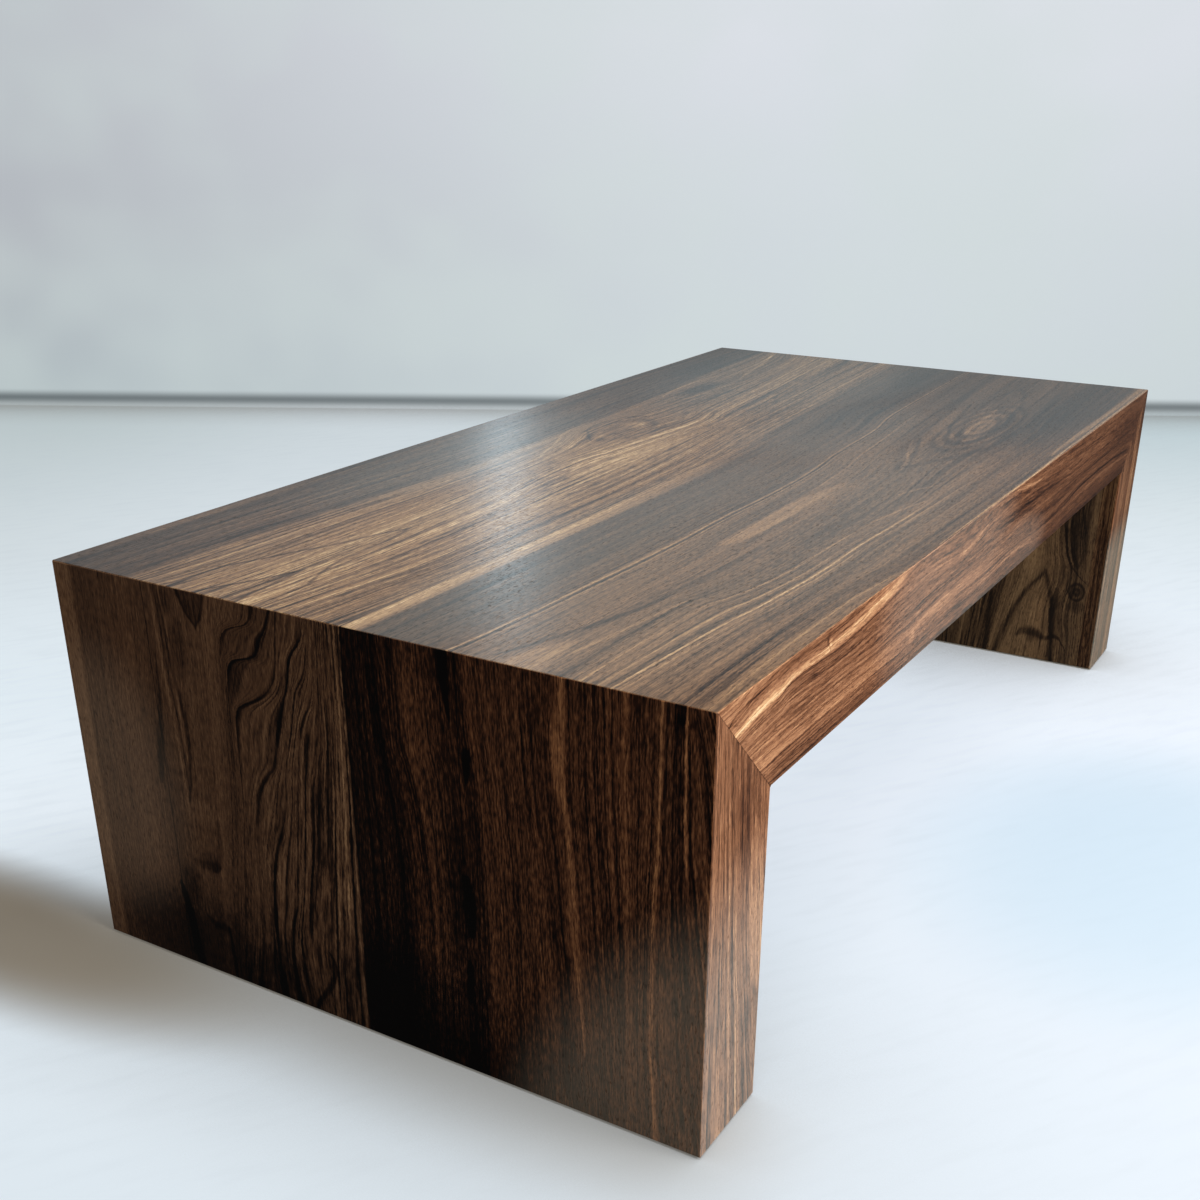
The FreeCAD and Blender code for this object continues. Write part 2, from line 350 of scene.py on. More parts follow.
NO_GLOW = (0.0, 0.0, 0.0, 1.0)
# What a mirror shows of the floor, of most of the wall, and of a bright strip on the wall: a painted
# reflection, glowing only for glossy rays.
VEIL_FLOOR = (0.03, 0.03, 0.03, 1.0)
VEIL_FAINT = (0.14, 0.16, 0.16, 1.0)
VEIL_BRIGHT = (0.84, 0.92, 0.96, 1.0)
# The plaster's own colour, seen by the camera, darker under the painted shadow, by other light and in a
# mirror.
PLASTER = (0.25, 0.26, 0.27, 1.0)
PLASTER_UNDER_PAINTED_SHADOW = (0.18, 0.14, 0.08, 1.0)
PLASTER_TO_LIGHT = (0.36, 0.36, 0.36, 1.0)
PLASTER_MIRRORED = (0.04, 0.04, 0.04, 1.0)


def make_pale_plaster():
    """Pale to the camera. Greyer in reflections, so that the wood's own colour isn't veiled."""
    shade = Shade("pale_plaster")
    spot = shade.spot()
    x, y, height = (shade.axis(spot, letter) for letter in "XYZ")
    ahead, across = level_axes(CAMERA_YAW)
    side, deep = shade.towards(spot, across), shade.towards(spot, ahead) - CAMERA_PLACE.dot(ahead)
    seen = shade.node("LightPath", {}, {}, "Is Camera Ray")
    mirrored = shade.node("LightPath", {}, {}, "Is Glossy Ray")
    wall = height.step(0.0, 0.02)
    brush = shade.noise(shade.place((deep - side * 0.5) * 60.0, (side + deep * 0.5) * 12.0, 1.0), 3.0)
    cloud = shade.noise(shade.place(side * 2.2, height * 2.6, 7.0), 2.0)
    contact = shade.node("AmbientOcclusion", {"samples": 4}, {"Distance": 0.25}, "AO")
    # A painted shadow on the floor left of the near leg: brown in the glow, and darker in the plaster's
    # own colour.
    painted_shadow = oval(x, y, -0.40, -0.66, 0.34, 0.11).step(1.15, 0.05)
    ground = shade.mix(side.step(-0.7, 0.5), shade.ramp(deep / WALL_DISTANCE, FLOOR_SHADY_SIDE),
                       shade.ramp(deep / WALL_DISTANCE, FLOOR_WINDOW_SIDE))
    # Washes over the floor's glow; the last three are painted shadows.
    ground = shade.washes(
        ground, (side.near(-0.6, 0.8), 0.4, BRIGHT_LANE), (brush.step(0.42, 0.75), 0.12, BRUSHED_GREY),
        (oval(x, y, 0.50, 0.02, 0.30, 0.36).step(1.0, 0.0), 0.66, COOL_PATCH),
        ((y + HALF_LENGTH / 1000.0).near(0.0, 0.11) * abs(x).step(0.40, 0.26), 0.72, FOOT_SHADE),
        (painted_shadow, 0.97, PAINTED_SHADOW_BROWN), (contact.step(1.0, 0.25), 1.0, CONTACT_SHADE))
    glow = shade.mix(side.step(-2.0, 0.6), shade.ramp(height, WALL_SHADY_SIDE),
                     shade.ramp(height, WALL_WINDOW_SIDE))
    glow = shade.washes(glow, (cloud.step(0.35, 0.65), 0.4, WALL_CLOUD))
    # The dark line at the wall's foot is a painted shadow.
    glow = shade.washes(shade.mix(wall, ground, glow),
                        (shade.noise(spot, 3.0).step(0.4, 0.75), 0.08, BRUSHED_GREY),
                        (height.near(0.018, 0.022), 0.9, WALL_FOOT_SHADOW))
    # Painted reflection: glossy rays see the floor dark and the wall faint, with a glowing bright
    # strip.
    veil = height.near(0.92, 0.55 - side.step(0.45, 0.65) * 0.09)
    veil = shade.mix(wall, VEIL_FLOOR, shade.mix(veil, VEIL_FAINT, VEIL_BRIGHT))
    colour = shade.mix(seen, PLASTER_TO_LIGHT, shade.mix(painted_shadow * 0.6, PLASTER, PLASTER_UNDER_PAINTED_SHADOW))
    return shade.finish(one_sided=True, colour=shade.mix(mirrored, colour, PLASTER_MIRRORED),
                        glow=shade.mix(mirrored, shade.mix(seen, NO_GLOW, glow), veil),
                        roughness=0.8)


# Walnut from its darkest grain lines to its sapwood.
TOP_COLOURS = ((0.0, 24, 16, 13), (0.2, 52, 38, 29), (0.4, 87, 67, 52), (0.6, 128, 99, 74),
               (0.78, 162, 129, 94), (0.9, 190, 157, 116), (1.0, 213, 184, 142))
# The front's palette is redder and its zones are low: partly the wood's own tone and partly painted
# shade, as the front stands in shade.
FRONT_COLOURS = ((0.0, 12, 7, 5), (0.2, 42, 27, 18), (0.4, 86, 60, 42), (0.6, 124, 92, 66),
                 (0.8, 166, 128, 90), (1.0, 206, 168, 120))
SIDE_COLOURS = ((0.0, 34, 17, 11), (0.2, 70, 43, 29), (0.4, 112, 74, 51), (0.6, 152, 107, 78),
                (0.78, 186, 138, 102), (0.9, 214, 170, 126), (1.0, 236, 202, 158))
INNER_COLOURS = ((0.0, 26, 18, 12), (0.2, 54, 40, 27), (0.4, 88, 68, 48), (0.6, 120, 95, 68),
                 (0.78, 150, 120, 86), (0.9, 180, 148, 106), (1.0, 206, 174, 128))
# Tints that the wood's colour is multiplied by.
WARM_BANDS, OPEN_PORES = (1.06, 0.97, 0.9, 1.0), (0.42, 0.38, 0.36, 1.0)
# Below, the red half is the wood's own tint; the other is painted shade, a cooler tint on a side
# board's faces other than its outer one.
RED_HALF, BACK_FACE_SHADE_TINT = (1.0, 0.78, 0.62, 1.0), (0.74, 0.96, 1.0, 1.0)
# The grain's streaks, from broad to fibre: width and length in mm, seed, detail and roughness.
STREAKS = ((24.0, 1100.0, 11.0), (7.5, 760.0, 23.0), (2.6, 330.0, 37.0, 3.0, 0.6),
           (1.1, 24.0, 51.0, 1.0))
FLECKS = (1.4, 8.0, 57.0, 1.0)
LIGHT_STREAKS_HELD_BACK = 0.35
# Widths in mm and tones of the painted highlight along an edge and of a line of glue.
EDGE_HIGHLIGHT_WIDTH, EDGE_HIGHLIGHT_TONE = 1.3, 0.24
GLUE_WIDTH, GLUE_TONE = 0.8, -0.24
# Painted shade: how much darker a side board's faces other than its outer one are.
BACK_FACE_PAINTED_SHADE = -0.22
PORE_DEPTH = 0.00006


class Timber:
    """Walnut boards of one panel: millimetres across, along and into them, and a tone to paint."""

    def __init__(self, name, across, along, depth, seed, sheen_film=None):
        self.shade = Shade(name)
        spot = self.shade.spot(1000.0)
        self.u, self.v, self.w = ((self.shade.axis(spot, letter) - start) * sign
                                  for letter, sign, start in (across, along, depth))
        self.straight = self.u
        self.seed = seed
        # The colour of a painted sheen, for boards that have one.
        self.sheen_film = sheen_film
        self.grain = self.tone = self.sheen_mask = self.calm = None

    def cloud(self, wide, long, shift, detail=2.0):
        """Noise in the boards' own directions, about so wide and so long, from 0 to 1."""
        place = self.shade.place(self.straight / wide + shift, self.v / long, self.w / wide)
        return self.shade.noise(place, detail)

    def wander(self, amount, across, along):
        """Push the grain gently from side to side."""
        self.u = self.u + (self.cloud(across, along, self.seed) - 0.5) * (2.0 * amount)

    def ragged(self, amount, long=6.0):
        """Break the lines' edges, as open pores do."""
        tear = self.shade.noise(self.shade.place(self.straight / 1.4, self.v / long + self.seed,
                                                 self.w / 1.4), 2.0)
        self.u = self.u + (tear - 0.5) * (2.0 * amount)

    def follow(self, guides):
        """Number every spot by the drawn grain lines on either side of it."""
        number, places = guides[0]
        line = self.shade.curve(self.v, places)
        grain = (self.u - line).least(0.0) + number
        for next_number, places in guides[1:]:
            next_line = self.shade.curve(self.v, places)
            share = ((self.u - line) / (next_line - line)).clip()
            grain = grain + share * (next_number - number)
            number, line = next_number, next_line
        return grain + (self.u - line).most(0.0)

    def streaks(self, wide, long, seed, detail=2.0, rough=0.5, across=None):
        """Streaks along the grain, about so wide and so long, from -1 to 1."""
        across = self.grain if across is None else across
        place = self.shade.place(across / wide + (self.seed + seed), self.v / long, self.w / wide)
        return (self.shade.noise(place, detail, rough) - 0.5) * 2.0

    def draw(self, guides, zones, right_guides=None, **features):
        """Number the grain, give its zones their tones, and lay each feature's rows over it."""
        self.grain = self.follow(guides)
        if right_guides:
            right = self.follow(right_guides) - self.grain
            self.grain = self.grain + self.straight.over(0.0) * right
        self.tone = self.shade.curve(self.grain, zones)
        for feature, rows in features.items():
            getattr(self, feature)(rows)

    def lay(self, mask, tone, *stretch):
        """Add a tone where a mask is, all along the boards or over a stretch of them."""
        mask = mask * tone
        if stretch:
            mask = mask * between(self.v, *stretch)
        self.tone = self.tone + mask

    def veins(self, rows):
        """Lines that follow the grain: tone, number, half width, and perhaps a stretch."""
        for tone, number, half, *stretch in rows:
            self.lay(self.grain.near(number, half), tone, *stretch)

    def bands(self, rows):
        """Strips with crisp sides: tone, low number, high number, softness, perhaps a stretch."""
        for tone, low, high, soft, *stretch in rows:
            strip = self.grain.step(low - soft, low + soft) * self.grain.step(high + soft, high - soft)
            self.lay(strip, tone, *stretch)

    def free_lines(self, rows, along, across, fade):
        """Lines of their own: tone, and places as along, across and half width."""
        for tone, places in rows:
            away = abs(across - self.shade.curve(along, places))
            half = self.shade.curve(along, places, 2).most(0.05)
            inside = between(along, places[0][0], places[-1][0], fade)
            self.lay((1.0 - away / half).clip().step(0.0, 0.8) * inside, tone)

    def strokes(self, rows):
        """Free lines along the boards."""
        self.free_lines(rows, self.v, self.u, 2.0)

    def swoops(self, rows):
        """Free lines across the boards, whose places start with how far across."""
        self.free_lines(rows, self.u, self.v, 1.0)

    def tongues(self, rows):
        """Pointed arches: inner tone, rim tone, rim, softness, places as along, middle, half."""
        for inner, rim, reach, soft, places in rows:
            depth = (self.shade.curve(self.v, places, 2)
                     - abs(self.u - self.shade.curve(self.v, places)))
            self.lay(depth.step(-soft, soft), inner)
            self.lay(depth.near(0.0, reach), rim)

    def patches(self, rows):
        """Soft clouds: tone, middle along and across, and reach along and across."""
        for tone, *place in rows:
            self.lay(oval(self.v, self.u, *place).step(1.0, 0.0), tone)

    def knots(self, rows):
        """Knots with rings: tone, ring tone, ring gap, and then as patches."""
        for tone, ring_tone, gap, *place in rows:
            away = oval(self.v, self.u, *place) ** 0.5
            ring = away.math("COSINE", away * (2.0 * math.pi / gap))
            self.lay(away.step(1.0, 0.7), ring * ring_tone + tone)

    def dry_places(self, rows):
        """Painted sheen, a pale wash of reflected light over the wood: how much, softness, then as
        patches.
        """
        for amount, soft, *place in rows:
            sheen_film = oval(self.v, self.u, *place).step(1.0, 1.0 - soft) * amount
            self.sheen_mask = sheen_film if self.sheen_mask is None else self.sheen_mask.most(sheen_film)

    def painted_edge_highlight(self, edge, *others):
        """Painted highlight, a little lighter and broken by noise, along the nearest edge."""
        for other in others:
            edge = edge.least(other)
        place = self.shade.place(self.u / 14.0, self.v / 14.0, self.w / 14.0)
        self.lay(edge.near(0.0, EDGE_HIGHLIGHT_WIDTH) * self.shade.noise(place), EDGE_HIGHLIGHT_TONE)

    def joints(self, *distances):
        """A hair of glue, as a thin dark line wherever one of the distances is nothing."""
        for distance in distances:
            self.lay(distance.near(0.0, GLUE_WIDTH), GLUE_TONE)

    def glue_staves(self, *ends):
        """The joints between the four staves, and a painted highlight along the panel's edges."""
        self.joints(*(self.straight - seam for seam in STAVE_SEAMS))
        self.painted_edge_highlight(*ends, HALF_WIDTH - abs(self.straight))

    def figure(self, *amounts):
        """Lay streaks of four sizes over the tone, and short flecks along the boards."""
        *layers, fleck = amounts
        figure = 0.0
        for size, amount in zip(STREAKS, layers):
            figure = figure + self.streaks(*size) * amount
        figure = figure - figure.most(0.0) * LIGHT_STREAKS_HELD_BACK
        self.lay(figure, 1.0 if self.calm is None else self.calm)
        self.lay(self.streaks(*FLECKS, across=self.straight), fleck)

    def dark_lines(self, strength, wide=9.0, long=1300.0, seed=0.0):
        """Thin dark latewood lines that come and go."""
        edge = self.streaks(wide, long, 61.0 + seed, 1.0)
        there = self.streaks(wide * 1.7, 260.0, 71.0 + seed, 1.0).step(-0.35, 0.45)
        if self.calm is not None:
            there = there * self.calm
        self.lay(edge.near(0.0, 0.085) * there, -strength)

    def finish(self, colours, rough=0.30, shine=0.22, part=None, tint=None):
        """Turn the tone into walnut, part of it tinted, with painted sheen and open pores, and close
        the material.
        """
        shade = self.shade
        pore = self.cloud(0.7, 6.0, self.seed, 1.0).step(0.60, 0.70)
        pore = pore.most(self.cloud(1.4, 8.0, -self.seed, 1.0).step(0.61, 0.68))
        pore = pore * self.streaks(5.0, 200.0, 91.0, 1.0).step(-0.9, 0.4)
        colour = shade.ramp(self.tone.clip(), colours)
        warm = self.streaks(42.0, 520.0, 81.0).step(-0.5, 0.5)
        colour = shade.mix(warm * 0.5, colour, WARM_BANDS, "MULTIPLY")
        if part is not None:
            colour = shade.mix(part, colour, tint, "MULTIPLY")
        # Painted sheen: a pale colour added where reflected light is painted.
        if self.sheen_mask is not None:
            colour = shade.mix(self.sheen_mask, colour, self.sheen_film, "ADD")
        colour = shade.mix(pore * 0.8, colour, OPEN_PORES, "MULTIPLY")
        roughness = self.streaks(3.0, 90.0, 97.0) * 0.03 + pore * 0.12 + rough
        height = self.streaks(1.1, 45.0, 99.0, 1.0) * 0.3 - pore
        return shade.finish(colour=colour, roughness=roughness, shine=shine,
                            normal=shade.bump(height, PORE_DEPTH, 0.5))


# Grain lines of the top, left and right of its middle seam: a number, and places along, across.
TOP_LEFT_GUIDES = (
    (-305, ((0, -305), (1219, -305))),
    (-215, ((0, -215), (150, -210), (300, -203), (420, -198), (600, -198), (800, -210), (1000, -222),
        (1219, -235))),
    (-190, ((0, -190), (70, -180), (110, -178), (220, -176), (320, -172), (420, -172), (560, -180),
        (650, -194), (760, -194), (900, -196), (1219, -222))),
    (-150, ((0, -150), (100, -146), (240, -143), (330, -147), (500, -155), (600, -176), (650, -188),
        (700, -189), (760, -178), (900, -172), (1219, -200))),
    (-100, ((0, -100), (100, -97), (300, -100), (500, -118), (560, -112), (600, -108), (700, -100),
        (735, -98), (800, -108), (900, -118), (1000, -127), (1219, -150))),
    (-60, ((0, -60), (60, -54), (100, -49), (170, -44), (300, -45), (450, -45), (600, -55), (800, -68),
        (1000, -85), (1219, -104))),
    (-25, ((0, -28), (80, -22), (160, -15), (300, -14), (500, -16), (600, -22), (700, -32), (800, -40),
        (1000, -52), (1219, -66))),
)
TOP_RIGHT_GUIDES = (
    (0, ((0, 0), (500, 0), (600, -2), (700, -6), (800, -10), (900, -22), (1000, -26), (1219, -32))),
    (22, ((0, 20), (200, 22), (500, 23), (600, 22), (700, 18), (800, 12), (900, 0), (1000, -3),
        (1219, -6))),
    (95, ((0, 95), (60, 100), (150, 104), (300, 108), (400, 107), (500, 110), (600, 107), (680, 100),
        (800, 94), (900, 80), (1000, 75), (1219, 67))),
    (140, ((0, 138), (100, 140), (318, 142), (500, 139), (620, 133), (680, 125), (780, 116), (900, 104),
        (1000, 98), (1219, 90))),
    (203, ((0, 203), (150, 203), (200, 212), (240, 220), (300, 225), (380, 226), (500, 229), (600, 224),
        (700, 216), (800, 214), (1000, 204), (1219, 190))),
    (227, ((0, 227), (80, 231), (150, 236), (200, 241), (250, 244), (310, 246), (380, 245), (450, 248),
        (600, 252), (800, 254), (1000, 246), (1219, 238))),
    (300, ((0, 300), (100, 296), (200, 294), (280, 298), (320, 302), (345, 306), (600, 309),
        (1219, 300))),
)
# How light the top is, by the numbers of its grain, and how lively its streaks are.
TOP_ZONES = (
    (-305, 0.36), (-228, 0.4), (-212, 0.58), (-190, 0.64), (-150, 0.64), (-110, 0.7), (-85, 0.72),
    (-60, 0.62), (-30, 0.6), (-2, 0.54), (24, 0.4), (60, 0.38), (92, 0.43), (120, 0.5), (160, 0.53),
    (200, 0.52), (225, 0.54), (260, 0.5), (305, 0.5),
)
TOP_CALM = (
    (-305, 0.6), (-225, 0.8), (-150, 1), (-60, 1.1), (-4, 1), (24, 0.4), (90, 0.4), (100, 0.55),
    (125, 0.36), (200, 0.45), (240, 0.55), (305, 0.45),
)
# The top's features. What a row holds is said at the method of that name.
# Painted sheen on the top, where its finish reflects the pale wall.
TOP_PAINTED_SHEEN = (
    (0.36, 0.8, 330, 165, 520, 170), (0.54, 0.8, 1150, -110, 440, 220), (0.44, 0.9, 480, -230, 300, 90),
    (0.34, 0.9, 800, 50, 230, 120), (0.16, 0.9, 1080, 190, 340, 220), (0.44, 0.9, 260, 48, 460, 80),
)
TOP_VEINS = (
    (-0.2, -203, 2.2, None, 300, 60), (-0.22, -188, 2.2, None, 380, 60),
    (-0.16, -172, 1.8, None, 260, 60), (-0.14, -162, 1.5, None, 330, 60),
    (-0.2, -63, 2.2, None, 220, 60), (0.14, -92, 6, None, 700, 90), (0.16, -28, 2, None, 240, 60),
    (0.14, -42, 1.6, 60, 300, 60), (-0.15, -50, 1.8, None, 420, 80), (-0.16, -8, 1.8, None, 260, 80),
    (0.3, 95, 2.2), (0.24, 102, 2), (-0.16, 98.5, 1.6), (0.22, 203, 2, None, 420, 60),
    (0.18, 217, 1.8, None, 420, 60), (0.34, 227.5, 2.4, None, 520, 60),
    (-0.16, 223, 2.2, None, 480, 60), (0.14, 234, 1.6, None, 600, 90), (0.2, 298, 2.4, None, 345, 20),
    (0.18, 140, 2.6, 540, 900, 60), (0.2, -100, 3.4, 520, 760, 60), (0.2, -112, 3, 780, None, 60),
    (0.1, -3, 4, 700, 960, 60),
)
TOP_BANDS = (
    (0.3, 1.5, 19, 1.6, None, 330, 240), (0.14, 2, 20, 1.6, 250, 620, 120),
    (0.08, 4, 12, 1.5, None, 300, 120),
)
TOP_STROKES = (
    # This first row, along the right arris, is a painted highlight.
    (0.34, ((420, 303.6, 0.4), (700, 303.2, 2), (1219, 303.2, 2.6))),
    (-0.2, ((596, -150, 1), (625, -172, 3), (660, -188, 3.6), (700, -188, 3), (742, -172, 1))),
    (-0.16, ((600, -128, 1), (650, -120, 3), (700, -118, 3), (752, -118, 1))),
    (0.14, ((520, -165, 1), (570, -180, 3), (620, -198, 3), (680, -204, 1))),
    (0.18, ((848, -200, 1), (900, -210, 3), (960, -212, 3), (1012, -204, 1))),
    (0.14, ((850, -172, 1), (900, -168, 3), (960, -166, 3), (1004, -158, 1))),
    (0.2, ((1010, -172, 1), (1060, -184, 4), (1130, -196, 4), (1219, -222, 3))),
    (0.16, ((450, 228, 0.6), (490, 233, 2.4), (530, 241, 2), (550, 246, 0.6))),
    (0.14, ((556, 215, 0.6), (580, 222, 3), (612, 236, 0.8))),
    (0.28, ((790, 298, 1), (900, 296, 5), (1100, 297, 6), (1219, 297, 6))),
    (-0.2, ((860, 207, 1), (900, 209, 4), (960, 202, 3), (1010, 196, 1))),
    (-0.18, ((840, 170, 1), (880, 158, 4), (940, 150, 4), (1010, 140, 1))),
    (-0.14, ((640, 188, 1), (680, 180, 4), (740, 166, 4), (800, 150, 1))),
    (0.14, ((650, 184, 1), (690, 176, 3), (740, 158, 2), (790, 146, 1))),
    (0.16, ((40, 172, 1), (80, 177, 3), (130, 182, 3), (180, 188, 1))),
    (-0.16, ((10, 128, 2), (50, 142, 4), (90, 154, 5), (140, 165, 4), (190, 172, 1))),
)
TOP_TONGUES = (
    (-0.07, -0.34, 3, 3, ((-60, -127, 34), (0, -125, 22), (45, -117, 10), (85, -112, 0),
        (110, -111, -8))),
    (0.02, -0.3, 3, 5, ((60, -128, 46), (110, -127, 27), (150, -120, 17), (200, -114, 8),
        (225, -112, 0), (260, -111, -10))),
    (0.15, 0.05, 4, 4, ((296, 142, -8), (318, 143, 0), (345, 147, 6), (400, 150, 9), (470, 152, 10),
        (520, 154, 8), (560, 156, 3), (600, 156, -6))),
    (0.15, 0.02, 5, 5, ((826, 188, -8), (842, 188, 0), (870, 187, 7), (920, 184, 8), (960, 180, 5),
        (1000, 176, -4))),
    (0.05, -0.1, 6, 6, ((780, 198, -8), (797, 197, 0), (820, 196, 9), (860, 193, 17), (920, 188, 22),
        (1000, 178, 22), (1080, 170, 14), (1140, 166, -4))),
    (0.07, -0.1, 8, 8, ((636, 178, -9), (656, 178, 0), (700, 180, 16), (760, 186, 34), (830, 188, 44),
        (920, 184, 50), (1060, 170, 52), (1219, 156, 50))),
    (0.15, 0.02, 4, 5, ((-60, 153, 16), (0, 155, 15), (40, 158, 8), (70, 160, -4))),
)
TOP_KNOTS = (
    (-0.06, 0.08, 0.5, 665, -152, 80, 36), (-0.22, 0.08, 0.7, 922, -187, 62, 14),
    (-0.03, 0.085, 0.23, 888, 190, 165, 42),
)
# The two broad dark patches centred at the far end, at 1160 along, are painted shade that darkens the
# far end.
TOP_PATCHES = (
    (-0.05, 800, -60, 200, 60), (-0.06, 930, 30, 260, 52), (-0.06, 760, 205, 70, 40),
    (0.06, 540, -100, 120, 30), (-0.13, 1160, -190, 620, 170), (-0.22, 1160, 190, 520, 200),
    (-0.03, 1120, -40, 380, 90), (0.06, 230, -140, 110, 44), (0.05, 900, 160, 120, 50),
    (-0.07, 640, 230, 640, 170), (-0.04, 850, -150, 340, 70), (-0.06, 0, -270, 160, 80),
    (0.04, 10, -110, 150, 90), (0.18, 692, -150, 24, 12), (0.1, 648, -154, 12, 6),
    (-0.06, 880, 36, 200, 28), (-0.08, 1150, 30, 120, 50), (-0.1, 1040, 246, 260, 52),
    (-0.08, 1060, -262, 110, 34), (-0.05, 1100, 130, 160, 60),
)
TOP_LIFT = 0.02

# The near leg's outer face: across from its middle, along downwards from the top.
FRONT_LEFT_GUIDES = (
    (-305, ((0, -305), (356, -305))),
    (-200, ((0, -192), (60, -196), (120, -202), (200, -200), (356, -196))),
    (-150, ((0, -152), (60, -151), (120, -152), (200, -158), (356, -168))),
    (-120, ((0, -122), (30, -129), (100, -134), (200, -143), (356, -158))),
    (-90, ((0, -87), (9, -89), (16, -94), (19, -101), (22, -110), (28, -119), (38, -123.5), (60, -126),
        (140, -129), (200, -134), (250, -140), (356, -149))),
    (-80, ((0, -68), (13, -73), (27, -81.5), (37, -86), (42, -91), (46, -102), (50, -112), (58, -117.5),
        (75, -120), (140, -123), (200, -128), (250, -135), (356, -146))),
    (-70, ((0, -62), (20, -65), (40, -67), (55, -70), (65, -75), (72, -82), (79, -93), (86, -106),
        (93, -113), (105, -115.5), (130, -116.5), (180, -119), (250, -127), (300, -133), (356, -141))),
    (-58, ((0, -36), (14, -38.5), (23, -43), (31, -50), (40, -54), (57, -57), (76, -63), (95, -68),
        (117, -74), (132, -79), (142, -87), (156, -96), (170, -101.5), (190, -105), (214, -107),
        (250, -109), (300, -113), (356, -124))),
    (-48, ((0, -32), (31, -36), (45, -39.5), (55, -45), (64, -50), (76, -53), (98, -57.5), (115, -62),
        (133, -67), (164, -70.5), (179, -74), (193, -79), (207, -84.5), (224, -89.5), (240, -92.5),
        (269, -95), (300, -96), (356, -93))),
    (-38, ((0, -28), (50, -31.5), (70, -36.5), (82, -43.5), (95, -48), (110, -51.5), (140, -55),
        (188, -61), (226, -65.5), (245, -68), (260, -70.5), (271, -74), (286, -77.5), (300, -79),
        (356, -76))),
    (-28, ((0, -23), (60, -27), (95, -31), (120, -36), (143, -41), (188, -45), (207, -47.5), (238, -53),
        (264, -57), (290, -58.5), (310, -57), (356, -51))),
    (-18, ((0, -15.5), (80, -18), (150, -23), (200, -28), (260, -33), (300, -36), (356, -38))),
    (-8, ((0, -7), (120, -9), (200, -13), (280, -17), (356, -20))),
    (0, ((0, 0), (356, 0))),
)
FRONT_RIGHT_GUIDES = (
    (0, ((0, 0), (356, 0))),
    (28, ((0, 27), (70, 31), (130, 37), (170, 42), (230, 44), (280, 41), (356, 38))),
    (46, ((0, 45), (80, 46), (95, 50), (125, 57), (160, 62), (230, 66), (356, 64))),
    (100, ((0, 92), (60, 97), (120, 104), (200, 106), (280, 104), (356, 103))),
    (185, ((0, 186), (90, 188), (150, 194), (200, 198), (260, 205), (356, 212))),
    (238, ((0, 238), (90, 239), (200, 243), (356, 246))),
    (266, ((0, 266), (100, 265), (150, 262.5), (250, 261), (300, 263.5), (356, 267))),
    (286, ((0, 284.5), (100, 286), (150, 291), (200, 297), (250, 303), (356, 318))),
    (300, ((0, 290), (40, 300), (120, 312), (356, 345))),
)
